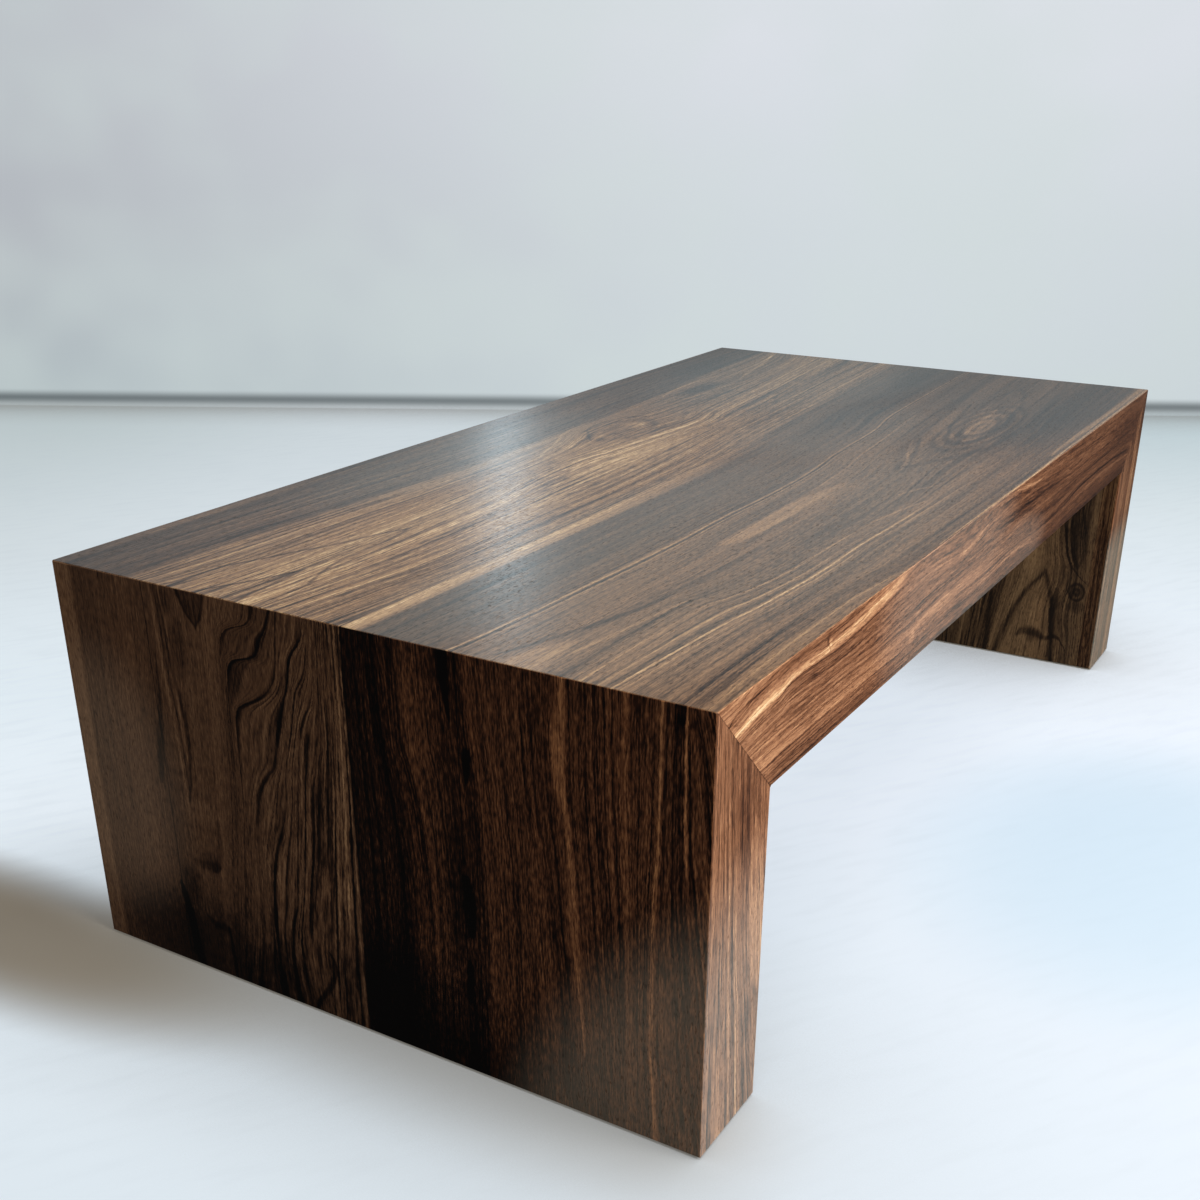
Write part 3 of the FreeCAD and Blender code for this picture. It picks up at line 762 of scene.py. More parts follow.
# These tones are low partly as painted shade on the front.
FRONT_ZONES = (
    (-305, 0.54), (-289, 0.54), (-284, 0.41), (-235, 0.42), (-205, 0.37), (-185, 0.4), (-150, 0.41),
    (-122, 0.43), (-88, 0.37), (-70, 0.38), (-58, 0.42), (-48, 0.42), (-38, 0.41), (-28, 0.37),
    (-18, 0.41), (-8, 0.46), (-1, 0.46), (0, 0.12), (14, 0.13), (28, 0.16), (46, 0.26), (70, 0.29),
    (84, 0.24), (92, 0.2), (106, 0.22), (114, 0.31), (150, 0.33), (166, 0.3), (200, 0.32), (230, 0.35),
    (244, 0.36), (262, 0.35), (276, 0.31), (305, 0.38),
)
FRONT_VEINS = (
    (-0.24, -90, 1.5, None, 34, 10), (-0.1, -90, 1.1, 40, None, 20), (-0.31, -80, 1.4, None, 60, 10),
    (-0.11, -80, 1.2, 60, None, 20), (-0.17, -70, 1.1, None, 66, 12), (-0.41, -70, 1.8, 70, 100, 8),
    (-0.24, -70, 1.5, 98, 150, 10), (-0.12, -70, 1.3, 150, None, 20), (-0.46, -58, 1.6, 16, 110, 10),
    (-0.24, -58, 1.3, 108, 134, 8), (-0.31, -58, 1.8, 134, 190, 12), (-0.17, -58, 1.5, 190, None, 20),
    (-0.31, -48, 1.4, 22, 112, 12), (-0.22, -48, 1, 112, 186, 12), (-0.48, -48, 1.6, 188, 300, 12),
    (-0.34, -48, 1.8, 300, None, 12), (-0.17, -38, 1.1, None, 70, 10), (-0.36, -38, 1.5, 72, 100, 8),
    (-0.22, -38, 1, 110, 262, 14), (-0.41, -38, 1.4, 262, 306, 8), (-0.24, -38, 1.3, 306, None, 10),
    (-0.17, -28, 1, None, 140, 12), (-0.41, -28, 1.5, 140, 276, 14), (-0.17, -24, 2.8, 128, 216, 14),
    (-0.29, -43, 0.9, 60, 330, 30), (-0.24, -33, 0.9, 90, 350, 30), (-0.31, -20, 1.1, 60, 200, 20),
    (-0.36, -15.5, 1, 84, 132, 12), (-0.29, -15, 0.9, 160, 330, 20), (-0.36, -11, 0.9, 104, 134, 8),
    (-0.24, -11, 0.8, 190, 350, 20), (-0.24, -4, 0.7), (0.2, -7.5, 1.4, 40, 260, 20),
    (0.14, -13, 1.2, 120, 300, 30), (0.14, -2, 1), (-0.2, 10, 1.6), (-0.2, 16, 1.4, 60, 260, 30),
    (-0.2, 28, 1.6), (-0.26, 46, 1.4, None, 200, 30), (-0.2, 52, 1.2, 80, 260, 30),
    (-0.18, 64, 1.4, 100, None, 30), (-0.2, 77, 1.6, 20, 190, 20), (-0.22, 112, 1.4, 60, 330, 30),
    (-0.18, 131, 1.4, 150, 260, 20), (-0.2, 138, 1.2, 90, 210, 20), (-0.22, 157, 1.6, 30, 130, 16),
    (-0.22, 164, 1.6, 20, 120, 16), (-0.22, 176, 1.4, 90, 250, 20), (-0.26, 206, 1.5, 60, 260, 20),
    (-0.2, 214, 1.2, None, 330, 20), (-0.24, 222, 1.4, None, 240, 30), (-0.24, 230, 1.2, 90, 300, 30),
    (-0.18, 249, 1.2, None, 300, 30), (-0.2, 257, 1, 100, None, 30), (0.34, 265.6, 2.4),
    (-0.22, 270, 1.4, None, 180, 30), (-0.22, 276, 1.6, None, 180, 30),
    (-0.16, 281, 1.2, None, 240, 30), (0.38, 285.4, 1.8, None, 120, 20), (0.2, 289, 1.3, 90, None, 30),
    (-0.2, 288, 1.1, 20, 200, 30), (0.18, 294, 1.2, 40, None, 30), (-0.22, 297, 1.1, None, 240, 30),
    (0.12, 240, 4, None, 150, 30),
)
FRONT_STROKES = (
    (0.13, ((-2, -194, 1.5), (60, -191, 2.5), (130, -185, 2), (200, -182, 0.8))),
    (-0.14, ((-2, -189, 1.5), (60, -186, 2), (130, -180, 1.6), (180, -179, 0.8))),
    (0.1, ((-2, -184, 1.2), (78, -179, 2), (150, -176, 0.8))),
    (-0.7, ((272, -204, 1.5), (285, -201, 4.5), (310, -197, 6), (335, -194, 6), (356, -190, 6))),
    (-0.52, ((-10, 90, 6), (20, 91, 6), (38, 93, 4), (54, 95, 1))),
    (-0.56, ((72, 108, 2), (80, 108, 4.6), (90, 107.5, 4), (100, 107, 1))),
    (-0.3, ((176, 104, 2), (198, 106, 8), (216, 107, 7), (230, 106, 1))),
    (-0.52, ((250, 104, 1), (262, 104, 4), (278, 103, 4.4), (290, 103, 1))),
    (0.26, ((-10, 189, 5), (20, 189, 7), (50, 186, 11), (80, 188, 9), (110, 193.5, 5), (150, 196, 5),
        (200, 199, 5), (250, 203, 3), (300, 207, 1))),
    (-0.16, ((60, -197, 1), (110, -200, 4), (150, -207, 6), (180, -212, 1))),
    (-0.16, ((16, -184, 1), (70, -180, 3), (100, -174.5, 3), (130, -172, 3), (160, -175, 3),
        (190, -181, 1))),
    (-0.12, ((196, -150, 1), (226, -151, 5), (243, -156, 7), (252, -160, 1))),
    (-0.26, ((290, -40, 1), (305, -34, 4), (319, -38, 5), (331, -45, 5), (345, -55, 4), (356, -60, 2))),
    (-0.24, ((316, -79, 1), (330, -79, 4), (356, -76, 5))),
    (-0.26, ((322, -97, 1), (336, -94, 4), (356, -92, 4))),
    (-0.2, ((302, -153, 1), (320, -151, 3), (345, -150, 3), (356, -150, 1))),
)
FRONT_SWOOPS = (
    (-0.08, ((-186, 246, 1), (-168, 247, 8), (-152, 244, 1))),
    (-0.14, ((-178, 297, 1), (-166, 305, 6), (-157, 304, 6), (-151, 312, 1))),
)
FRONT_CALM = (
    (-305, 0.3), (-205, 0.4), (-150, 0.45), (-90, 0.55), (-60, 0.9), (-30, 1.2), (-1, 1.3), (2, 0.8),
    (90, 0.8), (170, 0.8), (230, 1), (305, 1),
)
# Painted sheen on the front: a broad patch at the lower right and a smaller one on the left.
FRONT_PAINTED_SHEEN = ((0.88, 0.36, 470, 500, 400, 400), (0.48, 1, 190, -275, 150, 110))
FRONT_TONGUES = (
    (-0.14, -0.18, 3, 3, ((-40, -150, 30), (0, -150, 15), (18, -149, 8), (29, -148, 0),
        (48, -148, -9))),
)
FRONT_PATCHES = (
    (-0.12, 325, -225, 56, 60), (-0.1, 330, -165, 60, 50), (-0.12, 345, -95, 50, 60),
    (-0.14, 320, 30, 90, 70), (-0.08, 345, 100, 30, 60), (0.05, 215, -90, 60, 14),
    (0.05, 250, -82, 60, 12), (-0.1, 50, -170, 34, 12), (-0.12, 270, -190, 26, 16),
    (-0.1, 242, -166, 14, 14), (-0.1, 190, 96, 80, 16), (0.05, 196, -168, 14, 30),
    (0.06, 60, 68, 60, 22), (0.1, 345, -8, 60, 12), (-0.1, 12, -178, 14, 10),
    (-0.15, 370, -60, 135, 420), (-0.05, 30, -262, 80, 60), (0.05, 320, -50, 60, 50),
)

# The far leg's outer face is out of the photograph's sight and goes on from the top's far end.
REAR_GUIDES = (
    (-305, ((0, -305), (356, -305))),
    (-190, ((0, -222), (120, -226), (240, -218), (356, -224))),
    (-100, ((0, -150), (90, -158), (200, -140), (356, -150))),
    (0, ((0, -32), (120, -40), (250, -30), (356, -22))),
    (95, ((0, 67), (120, 60), (260, 70), (356, 64))),
    (190, ((0, 178), (100, 170), (220, 188), (356, 182))),
    (300, ((0, 300), (356, 298))),
)
REAR_ZONES = (
    (-305, 0.38), (-230, 0.4), (-205, 0.55), (-150, 0.6), (-60, 0.56), (-4, 0.5), (2, 0.34), (60, 0.36),
    (95, 0.42), (160, 0.5), (215, 0.44), (305, 0.46),
)
REAR_VEINS = (
    (0.18, -150, 3), (-0.18, -120, 2.4, None, 260, 60), (0.2, 95, 2.2), (-0.16, 40, 2.4, 60, None, 60),
    (0.2, 240, 2, None, 300, 60), (-0.14, -40, 2.2),
)
REAR_TONGUES = (
    (0.04, -0.2, 3.6, 4, ((-40, 178, 40), (0, 176, 34), (60, 172, 22), (110, 170, 8), (135, 170, 0),
        (170, 170, -9))),
    (0.12, -0.06, 3.6, 4, ((-40, 180, 18), (0, 178, 12), (40, 176, 6), (62, 174, 0), (90, 174, -8))),
    (0.02, -0.18, 3.4, 4, ((180, -110, -8), (205, -112, 0), (250, -114, 14), (300, -112, 26),
        (380, -110, 38))),
)

# The side board of the top: across downwards from the arris, along from the near end.
TOP_SIDE_GUIDES = (
    (8, ((0, 16), (30, 13), (50, 8), (80, 4), (130, 1), (200, 0), (345, -7), (1219, -7))),
    (20, ((0, 32), (45, 26), (60, 23), (100, 20), (130, 16), (160, 17), (200, 16), (250, 14), (300, 10),
        (340, 4), (400, -2), (500, 1), (600, -2), (700, 8), (900, 12), (1219, 14))),
    (27, ((0, 38), (60, 28), (100, 24), (125, 20.5), (200, 23.5), (260, 21), (300, 18), (330, 15),
        (400, 14), (500, 20), (560, 18), (650, 16), (900, 26), (1219, 26))),
    (50, ((0, 53), (60, 50.5), (100, 49.5), (200, 50), (300, 52), (400, 49), (500, 47), (600, 49),
        (700, 51), (850, 48), (1000, 46), (1219, 49))),
    (66, ((0, 68), (80, 66.5), (150, 65), (250, 66), (350, 68), (450, 66), (560, 68), (640, 65),
        (700, 66), (760, 69), (900, 60), (1000, 58), (1150, 64), (1219, 65))),
    (89, ((0, 89), (1219, 89))),
)
TOP_SIDE_ZONES = (
    (0, 0.56), (12, 0.54), (22, 0.52), (28, 0.48), (44, 0.51), (62, 0.53), (75, 0.48), (89, 0.36),
)
LONG_SIDE_CALM = ((0, 0.9), (300, 0.9), (600, 1), (800, 0.7), (1219, 0.55))
# Painted sheen along the middle of the top's side board.
TOP_SIDE_PAINTED_SHEEN = ((1, 0.8, 470, 44, 210, 120), (0.8, 0.8, 650, 74, 140, 46))
TOP_SIDE_BANDS = (
    (0.32, 17, 23.5, 1.4, 18, 335, 20), (0.14, 9, 18, 2, 240, 350, 25),
    (0.12, 63, 68, 1.4, 40, 320, 40), (0.1, 57, 59.5, 1, 40, 300, 40),
)
TOP_SIDE_VEINS = (
    (-0.26, 25.6, 1.4, 100, 330, 30), (-0.18, 50, 1.4, None, 420, 50), (-0.14, 47, 1.2, 60, 330, 40),
    (-0.16, 60.5, 1.2, 40, 380, 50), (-0.2, 69.5, 1.3, 40, 420, 50), (-0.16, 72.5, 1.2, 60, 330, 50),
    (-0.18, 78, 1.6, 60, 420, 50), (-0.14, 10, 1.2, 20, 140, 30), (0.12, 56, 2, 380, 460, 30),
    (-0.14, 63, 1.6, 380, 640, 60), (-0.14, 20, 1.5, 400, 640, 60), (0.12, 69, 2.4, 560, 720, 50),
    (-0.3, 64, 2.6, 880, 1150, 50), (-0.14, 44, 2, 800, 1100, 60), (0.14, 71, 3, 860, 1180, 60),
)
TOP_SIDE_PATCHES = (
    (0.12, 20, 40, 130, 90), (-0.03, 470, 44, 210, 120), (-0.13, 920, 40, 420, 110),
    (-0.06, 1160, 40, 120, 110), (0.24, 182, 12, 5, 6), (0.16, 366, 66, 9, 8), (0.12, 376, 50, 6, 6),
    (0.12, 900, 28, 130, 14), (0.1, 1000, 26, 60, 8), (0.12, 720, 52, 8, 6), (0.08, 1165, 62, 14, 10),
    (-0.1, 180, 7, 4, 5),
)
TOP_SIDE_SWOOPS = ((-0.24, ((6, 176, 2), (10, 178, 2.6), (16, 182, 1.5), (19, 184, 0.6))),)
TOP_SIDE_STROKES = (
    (-0.24, ((18, 18, 0.8), (35, 11, 1.4), (60, 9, 1.3), (95, 7, 0.6))),
    (0.18, ((478, 25, 0.8), (500, 24, 3.6), (530, 21, 3), (548, 17, 1.5), (580, 13, 0.7))),
    (-0.16, ((488, 33, 0.8), (520, 28, 1.8), (545, 24, 1.8), (580, 17, 0.7))),
    (0.16, ((570, 50, 0.8), (620, 47, 1.8), (670, 43, 1.6), (704, 41, 0.6))),
    (0.16, ((612, 71, 0.8), (650, 67, 2), (700, 72, 1.8), (755, 77, 0.7))),
    (0.14, ((428, 62, 0.8), (445, 62, 1.6), (464, 62, 0.7))),
    (0.24, ((644, 3, 0.8), (680, 7, 3), (715, 10, 2), (735, 11, 0.6))),
    (-0.18, ((596, 30, 0.8), (640, 31, 3), (690, 34, 3), (724, 36, 0.8))),
    (-0.14, ((600, 24, 0.8), (660, 26, 2), (715, 28, 0.8))),
    (-0.18, ((845, 23, 0.6), (870, 26, 1.8), (905, 24, 0.6))),
)

# The side board of the near leg: across from the arris, along downwards from the top.
LEG_SIDE_GUIDES = (
    (0, ((0, 0), (356, 0))),
    (12, ((0, 10), (40, 13), (100, 16), (200, 20), (300, 22), (356, 24))),
    (28, ((0, 26), (60, 29), (130, 36), (200, 41), (250, 48), (300, 53), (356, 58))),
    (44, ((0, 42), (60, 46), (130, 50), (200, 56), (250, 63), (300, 71), (356, 80))),
    (60, ((0, 58), (60, 60), (110, 64), (150, 68), (247, 80), (300, 88), (356, 98))),
    (89, ((0, 89), (60, 89), (247, 104), (356, 122))),
)
LEG_SIDE_ZONES = ((0, 0.56), (12, 0.58), (30, 0.6), (40, 0.54), (50, 0.52), (60, 0.54), (89, 0.58))
LEG_SIDE_VEINS = (
    (-0.18, 8, 1.2, 20, 260, 40), (-0.22, 14, 1.4, 20, 230, 40), (-0.18, 19, 1.2, 30, 300, 40),
    (-0.22, 25, 1.3, 20, None, 40), (0.28, 28, 1.3, 120, None, 30), (0.2, 31.5, 1.1, 130, None, 30),
    (-0.22, 34.5, 1.2, 40, None, 30), (0.1, 38, 1.2, 120, None, 40), (-0.26, 44, 1.5, 140, None, 30),
    (-0.2, 52, 2.4, 60, 150, 20), (-0.14, 41, 3.6, 50, 130, 20), (0.12, 22, 1.2, 130, None, 40),
    (-0.12, 5, 1.2), (0.12, 55, 1.6, 170, None, 30),
)
LEG_SIDE_TONGUES = (
    (0.16, 0.03, 2, 2.4, ((90, 66, -5), (108, 68, 3), (130, 70, 8), (170, 74, 12), (220, 79, 12),
        (244, 82, 6), (252, 82, 0), (262, 82, -6))),
)
# Painted sheen over the lower part of the near leg's side.
LEG_SIDE_PAINTED_SHEEN = ((1, 0.75, 400, 60, 300, 400),)
LEG_SIDE_PATCHES = (
    (-0.07, 60, 40, 90, 70), (-0.08, 100, 48, 50, 14), (-0.03, 300, 30, 150, 90),
    (-0.14, 270, 69, 26, 8),
)
RIGHT_TOP = {"bands": TOP_SIDE_BANDS, "veins": TOP_SIDE_VEINS, "patches": TOP_SIDE_PATCHES,
             "swoops": TOP_SIDE_SWOOPS, "strokes": TOP_SIDE_STROKES, "dry_places": TOP_SIDE_PAINTED_SHEEN}
RIGHT_LEG = {"veins": LEG_SIDE_VEINS, "tongues": LEG_SIDE_TONGUES, "patches": LEG_SIDE_PATCHES,
             "dry_places": LEG_SIDE_PAINTED_SHEEN}

# Side boards that the photograph doesn't show well, or at all: straight, with their own bends.
PLAIN_LONG_GUIDES = (
    (0, ((0, -2), (200, 3), (420, -4), (700, 2), (950, -3), (1219, 1))),
    (22, ((0, 26), (160, 19), (380, 24), (640, 17), (900, 25), (1219, 20))),
    (46, ((0, 44), (220, 48), (480, 42), (760, 50), (1000, 44), (1219, 47))),
    (68, ((0, 70), (260, 65), (520, 71), (800, 64), (1219, 69))),
    (89, ((0, 89), (400, 92), (800, 88), (1219, 91))),
)
PLAIN_SHORT_GUIDES = (
    (0, ((0, 0), (120, -3), (240, 2), (356, -2))),
    (30, ((0, 27), (110, 33), (230, 28), (356, 34))),
    (60, ((0, 62), (120, 57), (250, 64), (356, 58))),
    (89, ((0, 90), (180, 87), (356, 93))),
)
PLAIN_SIDE_ZONES = (
    (0, 0.5), (16, 0.58), (24, 0.7), (30, 0.52), (52, 0.48), (60, 0.58), (74, 0.5), (89, 0.44),
)
PLAIN_SHORT_VEINS = ((-0.22, 12, 1.5), (-0.2, 36, 1.6, 60, None, 50), (0.14, 46, 2, None, 260, 50),
                     (-0.18, 66, 1.6))
PLAIN_LONG = {"bands": ((0.18, 19, 26, 2, 260, 880, 160),),
              "veins": ((-0.24, 28, 1.6, None, 900, 90), (-0.18, 48, 1.8, 300, None, 90),
                        (-0.2, 63, 1.6, None, 760, 90), (0.14, 70, 2, 200, 1000, 90)),
              "patches": ((-0.16, 160, 60, 240, 60), (-0.14, 1060, 30, 240, 60),
                          (0.08, 620, 40, 260, 60))}
PLAIN_SHORT = {"veins": PLAIN_SHORT_VEINS,
               "patches": ((-0.14, 70, 44, 110, 80), (0.06, 300, 50, 120, 70))}
# The far leg's side has painted sheen over its lower part.
FAR_LEG = {"veins": PLAIN_SHORT_VEINS,
           "patches": ((-0.1, 30, 40, 90, 110), (0.07, 110, 40, 70, 110),
                       (0.05, 300, 40, 120, 160), (-0.1, 255, 50, 20, 12)),
           "dry_places": ((1.0, 0.5, 330, 40, 180, 260),)}

# The passage's sides and roof, in plainer and darker boards.
FAR_INNER_GUIDES = (
    (-305, ((89, -305), (356, -305))),
    (95, ((89, 96), (200, 92), (356, 94))),
    (140, ((89, 150), (200, 146), (280, 140), (356, 134))),
    (190, ((89, 212), (180, 206), (240, 196), (300, 184), (356, 172))),
    (250, ((89, 246), (150, 247), (200, 254), (235, 262), (275, 256), (320, 262), (356, 264))),
    (285, ((89, 288), (200, 288), (240, 287), (270, 286), (356, 287))),
    (305, ((89, 305), (356, 305))),
)
FAR_INNER_ZONES = (
    (-305, 0.37), (-200, 0.43), (-110, 0.37), (-80, 0.45), (40, 0.38), (90, 0.3), (100, 0.42),
    (120, 0.34), (135, 0.44), (150, 0.3), (175, 0.4), (200, 0.47), (230, 0.49), (255, 0.39),
    (275, 0.43), (305, 0.46),
)
FAR_INNER_VEINS = (
    (-0.24, 140, 3), (-0.2, 152, 3.4, 200, None, 40), (-0.2, 108, 3, 240, None, 40), (0.12, 128, 3),
    (0.12, 178, 4), (-0.16, 255, 2.4, None, 240, 30), (-0.16, -150, 3), (-0.16, -20, 3),
)
FAR_INNER_TONGUES = (
    (0.03, -0.28, 5.5, 5, ((215, 228, -9), (231, 228, 0), (250, 224, 11), (275, 220, 22),
        (310, 215, 31), (356, 212, 40))),
    (-0.07, -0.12, 3, 5, ((130, 262, -6), (150, 262, 6), (180, 266, 9), (205, 268, 6), (225, 268, -6))),
)
FAR_INNER_STROKES = (
    (-0.17, ((256, 204, 1), (285, 197, 6), (310, 189, 7), (340, 180, 6), (356, 174, 6))),
    (-0.1, ((250, 246, 2), (270, 247, 8), (300, 249, 7), (330, 250, 1))),
    (-0.24, ((146, 242, 0.8), (185, 250, 2.4), (212, 258, 2.4), (228, 270, 2), (240, 285, 0.8))),
    (0.2, ((278, 148, 0.6), (300, 147, 1.8), (356, 146, 2.2))),
    (-0.18, ((266, 160, 1), (300, 160, 5), (356, 160, 5))),
    (-0.2, ((96, 300, 1), (150, 297, 2), (220, 299, 2), (250, 298, 1))),
)
FAR_INNER_SWOOPS = (
    (-0.26, ((200, 324, 3), (214, 316, 9), (228, 317, 9), (240, 322, 5), (252, 318, 4), (262, 326, 3),
        (269, 342, 2))),
)
FAR_INNER_KNOTS = ((-0.2, 0.12, 0.52, 252, 272, 15, 13.5),)
FAR_INNER_PATCHES = (
    (-0.14, 272, 273, 12, 14), (-0.07, 276, 247, 22, 9), (-0.12, 322, 222, 12, 12),
    (-0.05, 180, 268, 60, 18), (0.08, 290, 224, 30, 14), (0.1, 205, 212, 45, 16),
    (-0.08, 150, 262, 60, 20),
)
NEAR_INNER_GUIDES = (
    (-305, ((89, -302), (200, -306), (356, -304))),
    (-120, ((89, -126), (170, -118), (260, -128), (356, -122))),
    (-20, ((89, -24), (180, -14), (280, -26), (356, -18))),
    (110, ((89, 104), (200, 116), (300, 106), (356, 112))),
    (220, ((89, 226), (200, 214), (300, 224), (356, 218))),
    (305, ((89, 303), (356, 306))),
)
NEAR_INNER_TONGUES = (
    (0.04, -0.22, 3.4, 4, ((120, 40, -9), (140, 40, 0), (190, 38, 14), (260, 36, 26), (356, 34, 38))),
    (-0.04, -0.18, 3.2, 4, ((60, -190, 44), (120, -188, 30), (190, -186, 14), (230, -186, 0),
        (262, -186, -9))),
)
UNDER_GUIDES = (
    (-305, ((0, -303), (600, -307), (1219, -304))),
    (-200, ((0, -206), (260, -196), (560, -210), (860, -194), (1219, -202))),
    (-96, ((0, -100), (300, -92), (640, -104), (960, -94), (1219, -98))),
    (10, ((0, 4), (240, 16), (520, 2), (860, 18), (1219, 8))),
    (96, ((0, 92), (360, 102), (700, 90), (1219, 98))),
    (200, ((0, 206), (280, 192), (620, 210), (940, 194), (1219, 204))),
    (305, ((0, 304), (1219, 306))),
)
UNDER_ZONES = (
    (-305, 0.44), (-200, 0.5), (-100, 0.42), (-90, 0.36), (0, 0.46), (90, 0.38), (100, 0.5),
    (200, 0.44), (305, 0.48),
)
UNDER_TONGUES = (
    (0.04, -0.2, 3.6, 5, ((250, 10, -9), (300, 10, 0), (420, 8, 14), (620, 6, 26), (1000, 4, 38))),
    (-0.02, -0.18, 3.6, 5, ((180, -198, 40), (420, -202, 26), (640, -206, 12), (760, -206, 0),
        (840, -206, -9))),
    (0.06, -0.18, 3.6, 5, ((360, 200, -9), (420, 200, 0), (560, 202, 12), (800, 198, 22),
        (1100, 200, 32))),
)
# How far the grain's numbers jump from one inner board to the next.
NEXT_PLANK = 173.0

# The object's own directions, as axis, sign and start: across, away from the camera and down.
ACROSS = ("X", 1.0, 0.0)
AWAY = ("Y", 1.0, -HALF_LENGTH)
DOWN = ("Z", -1.0, HEIGHT)


def make_top():
    # The top's painted sheen is a cool grey.
    timber = Timber("walnut_top", ACROSS, AWAY, DOWN, 3.0, srgb(62, 82, 86))
    timber.wander(2.2, 60.0, 260.0)
    timber.ragged(0.9)
    timber.draw(TOP_LEFT_GUIDES, TOP_ZONES, TOP_RIGHT_GUIDES, bands=TOP_BANDS, veins=TOP_VEINS,
                strokes=TOP_STROKES, tongues=TOP_TONGUES, knots=TOP_KNOTS, patches=TOP_PATCHES,
                dry_places=TOP_PAINTED_SHEEN)
    timber.calm = timber.shade.curve(timber.grain, TOP_CALM)
    timber.tone = timber.tone + TOP_LIFT
    timber.figure(0.22, 0.34, 0.62, 0.46, 0.18)
    timber.dark_lines(0.42)
    timber.dark_lines(0.38, 3.2, 420.0, 5.0)
    timber.glue_staves(timber.v, 2.0 * HALF_LENGTH - timber.v)
    return timber.finish(TOP_COLOURS)


def make_front():
    # The front's painted sheen is a dusty tan grey.
    timber = Timber("walnut_front", ACROSS, DOWN, AWAY, 17.0, srgb(92, 84, 73))
    timber.wander(0.9, 24.0, 70.0)
    timber.ragged(1.1)
    timber.draw(FRONT_LEFT_GUIDES, FRONT_ZONES, FRONT_RIGHT_GUIDES, veins=FRONT_VEINS,
                strokes=FRONT_STROKES, swoops=FRONT_SWOOPS, tongues=FRONT_TONGUES,
                patches=FRONT_PATCHES, dry_places=FRONT_PAINTED_SHEEN)
    timber.calm = timber.shade.curve(timber.grain, FRONT_CALM)
    right_half = timber.straight.over(0.0)
    timber.figure(0.14, 0.18, 0.30, 0.34, right_half * 0.16 + 0.18)
    timber.dark_lines(0.26, 6.0, 500.0)
    timber.dark_lines(0.24, 2.4, 200.0, 5.0)
    timber.glue_staves(timber.v)
    return timber.finish(FRONT_COLOURS, shine=0.15, part=right_half, tint=RED_HALF)


def make_rear():
    timber = Timber("walnut_rear", ACROSS, DOWN, ("Y", -1.0, HALF_LENGTH), 29.0)
    timber.wander(2.4, 50.0, 160.0)
    timber.ragged(1.0)
    timber.draw(REAR_GUIDES, REAR_ZONES, veins=REAR_VEINS, tongues=REAR_TONGUES)
    timber.figure(0.18, 0.22, 0.36, 0.30, 0.12)
    timber.dark_lines(0.30, 7.0, 600.0)
    timber.dark_lines(0.26, 3.5, 300.0, 5.0)
    timber.glue_staves(timber.v)
    return timber.finish(TOP_COLOURS)


def make_side_board(name, side, end, seed, guides, zones, features, sheen_film=None):
    """A narrow board beside the near leg (end 1), the far leg (end -1) or the top (end 0)."""
    depth = ("X", side, HALF_WIDTH * side)
    if end:
        timber = Timber(name, ("Y", end, -HALF_LENGTH * end), DOWN, depth, seed, sheen_film)
        timber.wander(0.9, 12.0, 50.0)
    else:
        timber = Timber(name, DOWN, AWAY, depth, seed, sheen_film)
        timber.wander(0.9, 12.0, 60.0)
        timber.calm = timber.shade.curve(timber.v, LONG_SIDE_CALM)
    timber.ragged(0.9)
    timber.draw(guides, zones, **features)
    timber.figure(0.12, 0.26, 0.46, 0.40, 0.13)
    timber.dark_lines(0.32, 4.2, 500.0)
    timber.dark_lines(0.30, 1.9, 160.0, 5.0)
    timber.joints(timber.straight - timber.v)
    if not end:
        timber.joints(timber.straight + timber.v - 2.0 * HALF_LENGTH)
    # A painted highlight along the outer arris.
    timber.painted_edge_highlight(timber.straight)
    # A side board's faces other than its outer one get painted shade, darker and cooler.
    face = timber.w.step(-3.0, -1.0)
    timber.lay(1.0 - face, BACK_FACE_PAINTED_SHADE)
    # The painted sheen lies only on the outer face.
    if timber.sheen_mask is not None:
        timber.sheen_mask = timber.sheen_mask * face
    return timber.finish(SIDE_COLOURS, shine=0.3, part=1.0 - face, tint=BACK_FACE_SHADE_TINT)


def make_inner_boards(name, along, depth, seed, bend, guides, zones, **features):
    """Three boards side by side, each from its own plank, with grain that bends so often."""
    timber = Timber(name, ACROSS, along, depth, seed)
    timber.wander(2.4, 46.0, bend)
    timber.ragged(1.8, 8.0)
    timber.draw(guides, zones, **features)
    board = timber.straight.over(-INNER_SEAM) + timber.straight.over(INNER_SEAM)
    timber.grain = timber.grain + board * NEXT_PLANK
    timber.figure(0.18, 0.30, 0.38, 0.28, 0.12)
    timber.dark_lines(0.30, 7.0, 4.0 * bend)
    timber.dark_lines(0.24, 3.2, 2.0 * bend, 5.0)
    return timber.finish(INNER_COLOURS, rough=0.5, shine=0.3)


def make_core_wood():
    """Plain poplar for what is hidden between the skins."""
    shade = Shade("core_poplar")
    grain = shade.noise(shade.spot(18.0, 180.0, 180.0), 3.0)
    colour = shade.ramp(grain, ((0.3, 164, 144, 104), (0.7, 206, 190, 150)))
    return shade.finish(colour=colour, roughness=0.7, normal=shade.bump(grain, 0.0002, 0.4))


def make_spline_wood():
    """Birch plywood, in thin plies that change from light to brown."""
    shade = Shade("birch_ply")
    spot = shade.spot()
    turn = (shade.axis(spot, "Y") + shade.axis(spot, "Z")) * 900.0
    ply = turn.math("SINE", turn) * 0.5 + 0.5
    fleck = shade.noise(shade.spot(400.0))
    colour = shade.ramp((ply + fleck) * 0.5, ((0.3, 150, 112, 74), (0.6, 214, 186, 144)))
    return shade.finish(colour=colour, roughness=0.65)


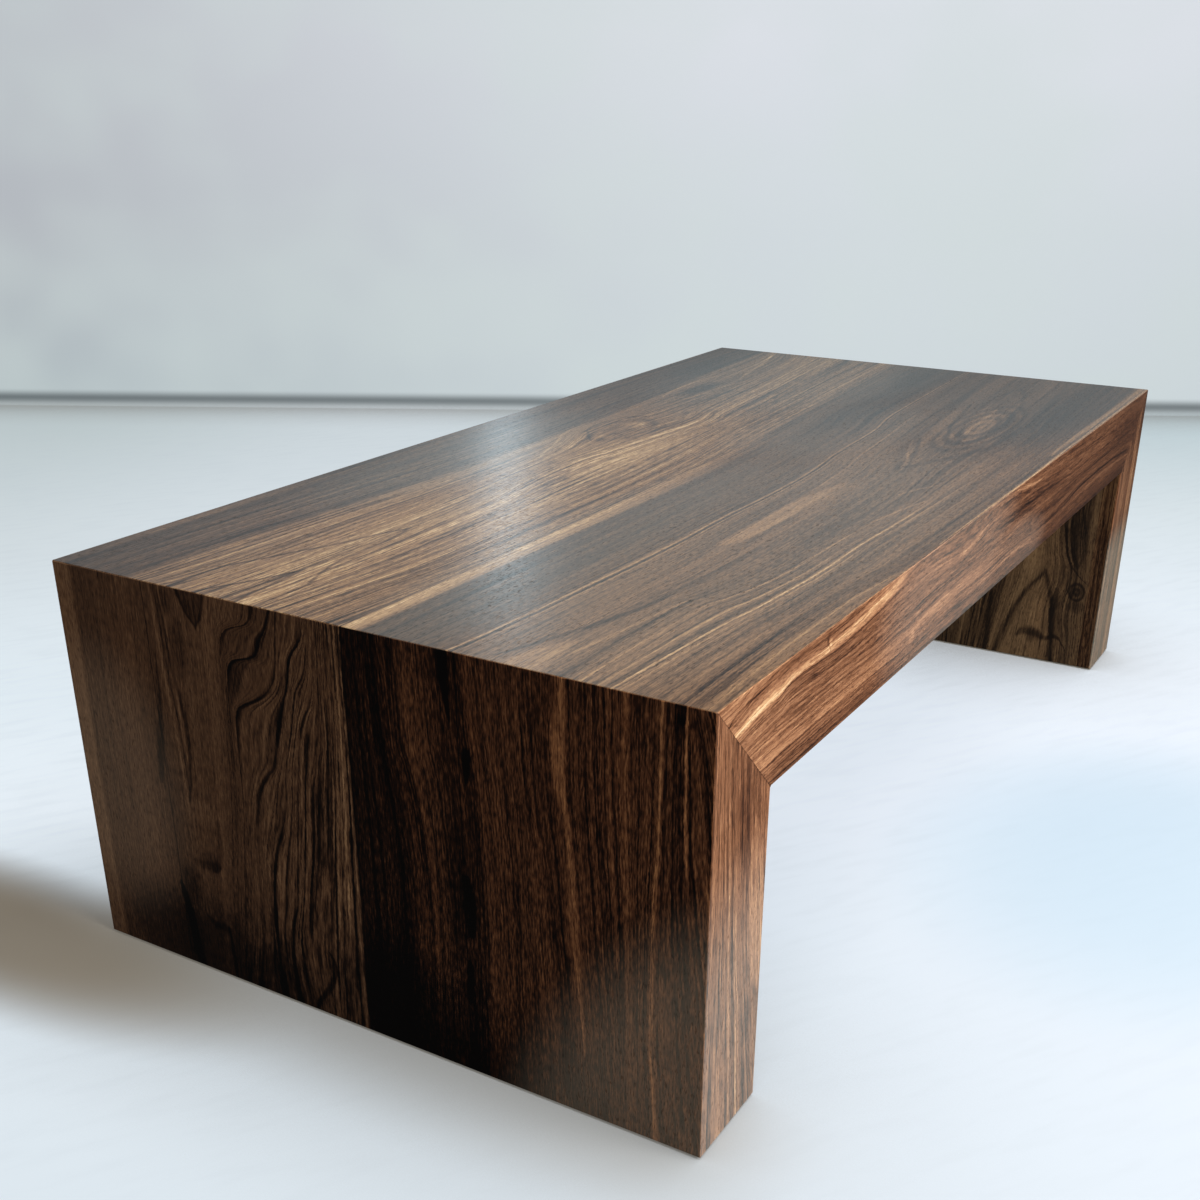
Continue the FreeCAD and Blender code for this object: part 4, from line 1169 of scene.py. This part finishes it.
def make_glide_nylon():
    """Moulded brown nylon with a faint spark-eroded skin."""
    shade = Shade("glide_nylon")
    skin, wear = shade.noise(shade.spot(2600.0)), shade.noise(shade.spot(160.0))
    colour = shade.ramp(wear, ((0.3, 62, 46, 36), (0.7, 84, 64, 50)))
    return shade.finish(colour=colour, roughness=wear * 0.2 + 0.4,
                        normal=shade.bump(skin, 0.00005, 0.5))


def make_screw_steel():
    """Zinc-plated steel, a little uneven."""
    shade = Shade("screw_steel")
    stain = shade.noise(shade.spot(700.0))
    colour = shade.ramp(stain, ((0.3, 150, 150, 146), (0.7, 188, 188, 184)))
    return shade.finish(colour=colour, roughness=stain * 0.3 + 0.2, metallic=1.0)


# The side boards: node, then material, side, end, seed, guides, zones, features and the painted sheen's
# colour.
SIDE_BOARDS = (
    ("top_side_right", "walnut_top_right", 1.0, 0, 5.0, TOP_SIDE_GUIDES, TOP_SIDE_ZONES,
     RIGHT_TOP, srgb(80, 84, 82)),
    ("front_leg_side_right", "walnut_near_right", 1.0, 1, 7.0, LEG_SIDE_GUIDES, LEG_SIDE_ZONES,
     RIGHT_LEG, srgb(80, 97, 99)),
    ("rear_leg_side_right", "walnut_far_right", 1.0, -1, 13.0, PLAIN_SHORT_GUIDES,
     PLAIN_SIDE_ZONES, FAR_LEG, srgb(90, 110, 106)),
    ("top_side_left", "walnut_top_left", -1.0, 0, 41.0, PLAIN_LONG_GUIDES, PLAIN_SIDE_ZONES,
     PLAIN_LONG),
    ("front_leg_side_left", "walnut_near_left", -1.0, 1, 43.0, PLAIN_SHORT_GUIDES,
     PLAIN_SIDE_ZONES, PLAIN_SHORT),
    ("rear_leg_side_left", "walnut_far_left", -1.0, -1, 47.0, PLAIN_SHORT_GUIDES,
     PLAIN_SIDE_ZONES, PLAIN_SHORT),
)


def dress(material, *starts):
    """Give a material to every CAD node whose name starts in one of these ways."""
    for name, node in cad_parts.items():
        if name.startswith(starts):
            for slot in node.material_slots:
                slot.material = material


def dress_the_table():
    dress(make_top(), "top_stave")
    dress(make_front(), "front_leg_stave")
    dress(make_rear(), "rear_leg_stave")
    for node, *board in SIDE_BOARDS:
        dress(make_side_board(*board), node)
    dress(make_inner_boards("walnut_under_top", AWAY, ("Z", 1.0, HEIGHT - PANEL), 53.0, 260.0,
                            UNDER_GUIDES, UNDER_ZONES, tongues=UNDER_TONGUES), "top_inner_board")
    inner_face = HALF_LENGTH - PANEL
    dress(make_inner_boards("walnut_far_inner", DOWN, ("Y", 1.0, inner_face), 59.0, 120.0,
                            FAR_INNER_GUIDES, FAR_INNER_ZONES, veins=FAR_INNER_VEINS,
                            tongues=FAR_INNER_TONGUES, strokes=FAR_INNER_STROKES,
                            swoops=FAR_INNER_SWOOPS, knots=FAR_INNER_KNOTS,
                            patches=FAR_INNER_PATCHES), "rear_leg_inner_board")
    dress(make_inner_boards("walnut_near_inner", DOWN, ("Y", -1.0, -inner_face), 61.0, 120.0,
                            NEAR_INNER_GUIDES, UNDER_ZONES, tongues=NEAR_INNER_TONGUES),
          "front_leg_inner_board")
    dress(make_core_wood(), "front_corner_rail", "rear_corner_rail", "front_leg_rib",
          "rear_leg_rib", "front_leg_sole_rail", "rear_leg_sole_rail", "top_rib")
    dress(make_spline_wood(), "front_mitre_spline", "rear_mitre_spline")
    dress(make_glide_nylon(), "glide_front", "glide_rear")
    dress(make_screw_steel(), "glide_screws")


make_camera()
make_lights()
make_stage()
dress_the_table()
